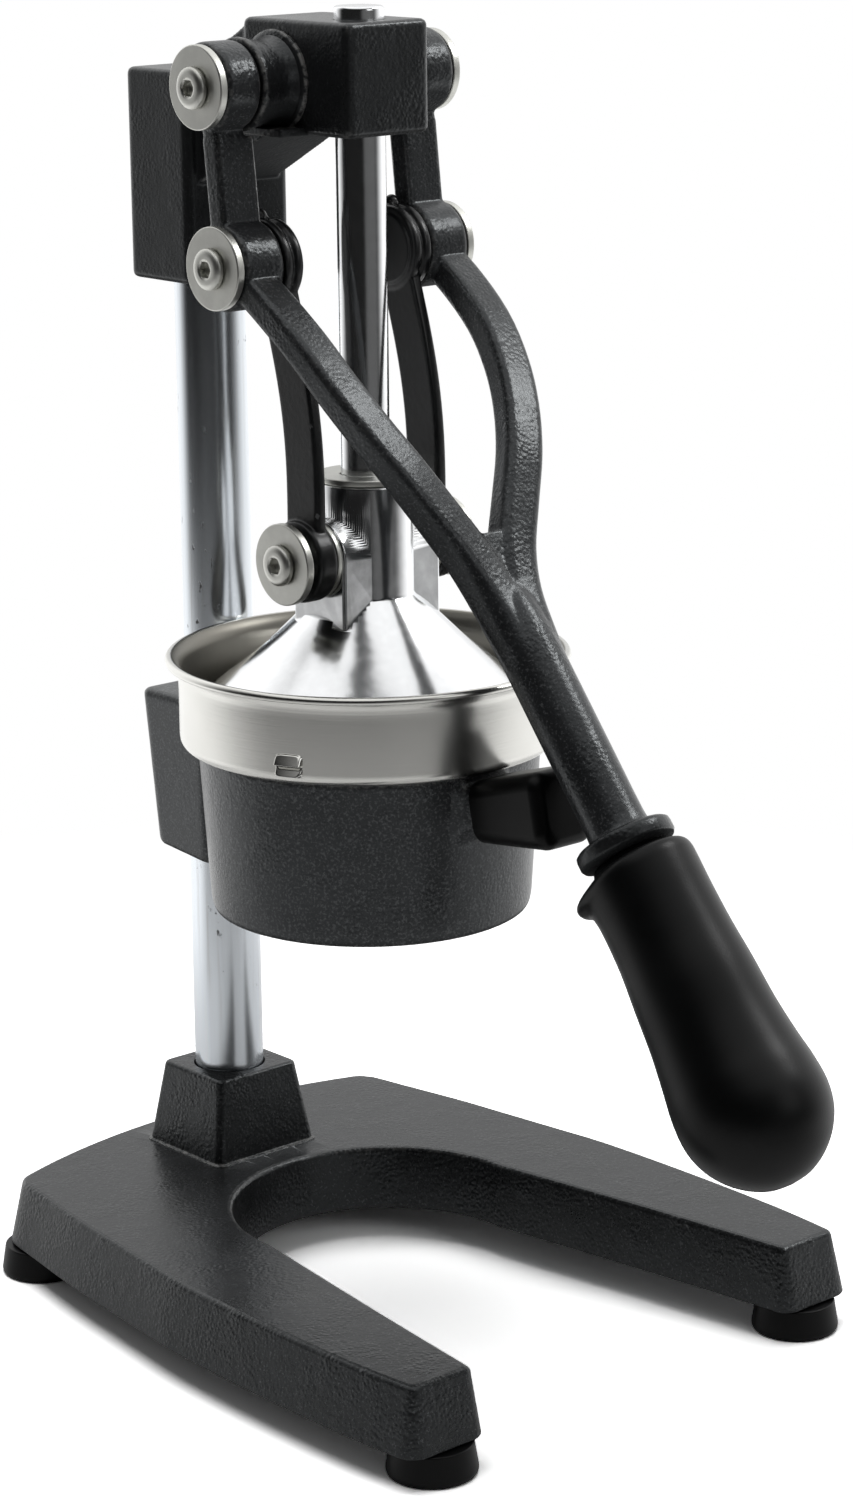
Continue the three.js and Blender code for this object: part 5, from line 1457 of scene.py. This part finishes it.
class PRESS_OT_feet(Builder, bpy.types.Operator):
    """Mould the rubber feet"""
    bl_idname, bl_label, build = "press.feet", "Feet", staticmethod(make_feet)


class PRESS_OT_post(Builder, bpy.types.Operator):
    """Draw the plated post"""
    bl_idname, bl_label, build = "press.post", "Post", staticmethod(make_post)


class PRESS_OT_head(Builder, bpy.types.Operator):
    """Cast the head"""
    bl_idname, bl_label, build = "press.head", "Head", staticmethod(make_head)


class PRESS_OT_cup(Builder, bpy.types.Operator):
    """Cast the holder cup with its bracket and stub"""
    bl_idname, bl_label, build = "press.cup", "Cup", staticmethod(make_cup)


class PRESS_OT_bumper(Builder, bpy.types.Operator):
    """Mould the bumper cap"""
    bl_idname, bl_label, build = "press.bumper", "Bumper", staticmethod(make_bumper)


class PRESS_OT_funnel(Builder, bpy.types.Operator):
    """Spin the juice funnel and press its tabs"""
    bl_idname, bl_label, build = "press.funnel", "Funnel", staticmethod(make_funnel)


class PRESS_OT_strainer(Builder, bpy.types.Operator):
    """Press and slot the strainer"""
    bl_idname, bl_label, build = "press.strainer", "Strainer", staticmethod(make_strainer)


class PRESS_OT_cone(Builder, bpy.types.Operator):
    """Make the press cone with its neck and lugs"""
    bl_idname, bl_label, build = "press.cone", "Cone", staticmethod(make_cone)


class PRESS_OT_rod(Builder, bpy.types.Operator):
    """Turn the plunger rod and its flange"""
    bl_idname, bl_label, build = "press.rod", "Rod", staticmethod(make_rod)


class PRESS_OT_lever(Builder, bpy.types.Operator):
    """Cast the forked lever"""
    bl_idname, bl_label, build = "press.lever", "Lever", staticmethod(make_lever)


class PRESS_OT_grip(Builder, bpy.types.Operator):
    """Mould the hand grip"""
    bl_idname, bl_label, build = "press.grip", "Grip", staticmethod(make_grip)


class PRESS_OT_links(Builder, bpy.types.Operator):
    """Forge the two links"""
    bl_idname, bl_label, build = "press.links", "Links", staticmethod(make_links)


class PRESS_OT_washers(Builder, bpy.types.Operator):
    """Stamp the washers and spacers of the pivots"""
    bl_idname, bl_label, build = "press.washers", "Washers", staticmethod(make_washers)


class PRESS_OT_bolts(Builder, bpy.types.Operator):
    """Make the pivot bolts"""
    bl_idname, bl_label, build = "press.bolts", "Bolts", staticmethod(make_bolts)


class PRESS_OT_screws(Builder, bpy.types.Operator):
    """Make the screws, the plug and the bolts inside"""
    bl_idname, bl_label, build = "press.screws", "Screws", staticmethod(make_screws)


class PRESS_OT_bushes(Builder, bpy.types.Operator):
    """Turn the bronze bushes"""
    bl_idname, bl_label, build = "press.bushes", "Bushes", staticmethod(make_bushes)


class PRESS_OT_stage(Builder, bpy.types.Operator):
    """Set the floor, the lights and the camera"""
    bl_idname, bl_label, build = "press.stage", "Stage", staticmethod(make_stage)


OPERATORS = (PRESS_OT_stage, PRESS_OT_base, PRESS_OT_feet, PRESS_OT_post, PRESS_OT_head, PRESS_OT_cup,
             PRESS_OT_bumper, PRESS_OT_funnel, PRESS_OT_strainer, PRESS_OT_cone, PRESS_OT_rod,
             PRESS_OT_lever, PRESS_OT_grip, PRESS_OT_links, PRESS_OT_washers, PRESS_OT_bolts,
             PRESS_OT_screws, PRESS_OT_bushes)


class PRESS_PT_panel(bpy.types.Panel):
    """Buttons for each piece, with the sizes and colours"""
    bl_idname, bl_label = "PRESS_PT_panel", "Citrus press"
    bl_space_type, bl_region_type, bl_category = "VIEW_3D", "UI", "Press"

    def draw(self, context):
        for operator in OPERATORS:
            self.layout.operator(operator.bl_idname)
        for group in (context.scene.press_sizes, context.scene.press_colours):
            for prop in group.bl_rna.properties:
                if prop.identifier not in ("rna_type", "name"):
                    self.layout.prop(group, prop.identifier)


CLASSES = (PressSizes, PressColours, *OPERATORS, PRESS_PT_panel)


def register():
    for cls in CLASSES:
        bpy.utils.register_class(cls)
    bpy.types.Scene.press_sizes = PointerProperty(type=PressSizes)
    bpy.types.Scene.press_colours = PointerProperty(type=PressColours)


def unregister():
    del bpy.types.Scene.press_colours, bpy.types.Scene.press_sizes
    for cls in reversed(CLASSES):
        bpy.utils.unregister_class(cls)


def main():
    register()
    for operator in OPERATORS:
        getattr(bpy.ops.press, operator.bl_idname.split(".")[1])()


if __name__ == "__main__":
    main()
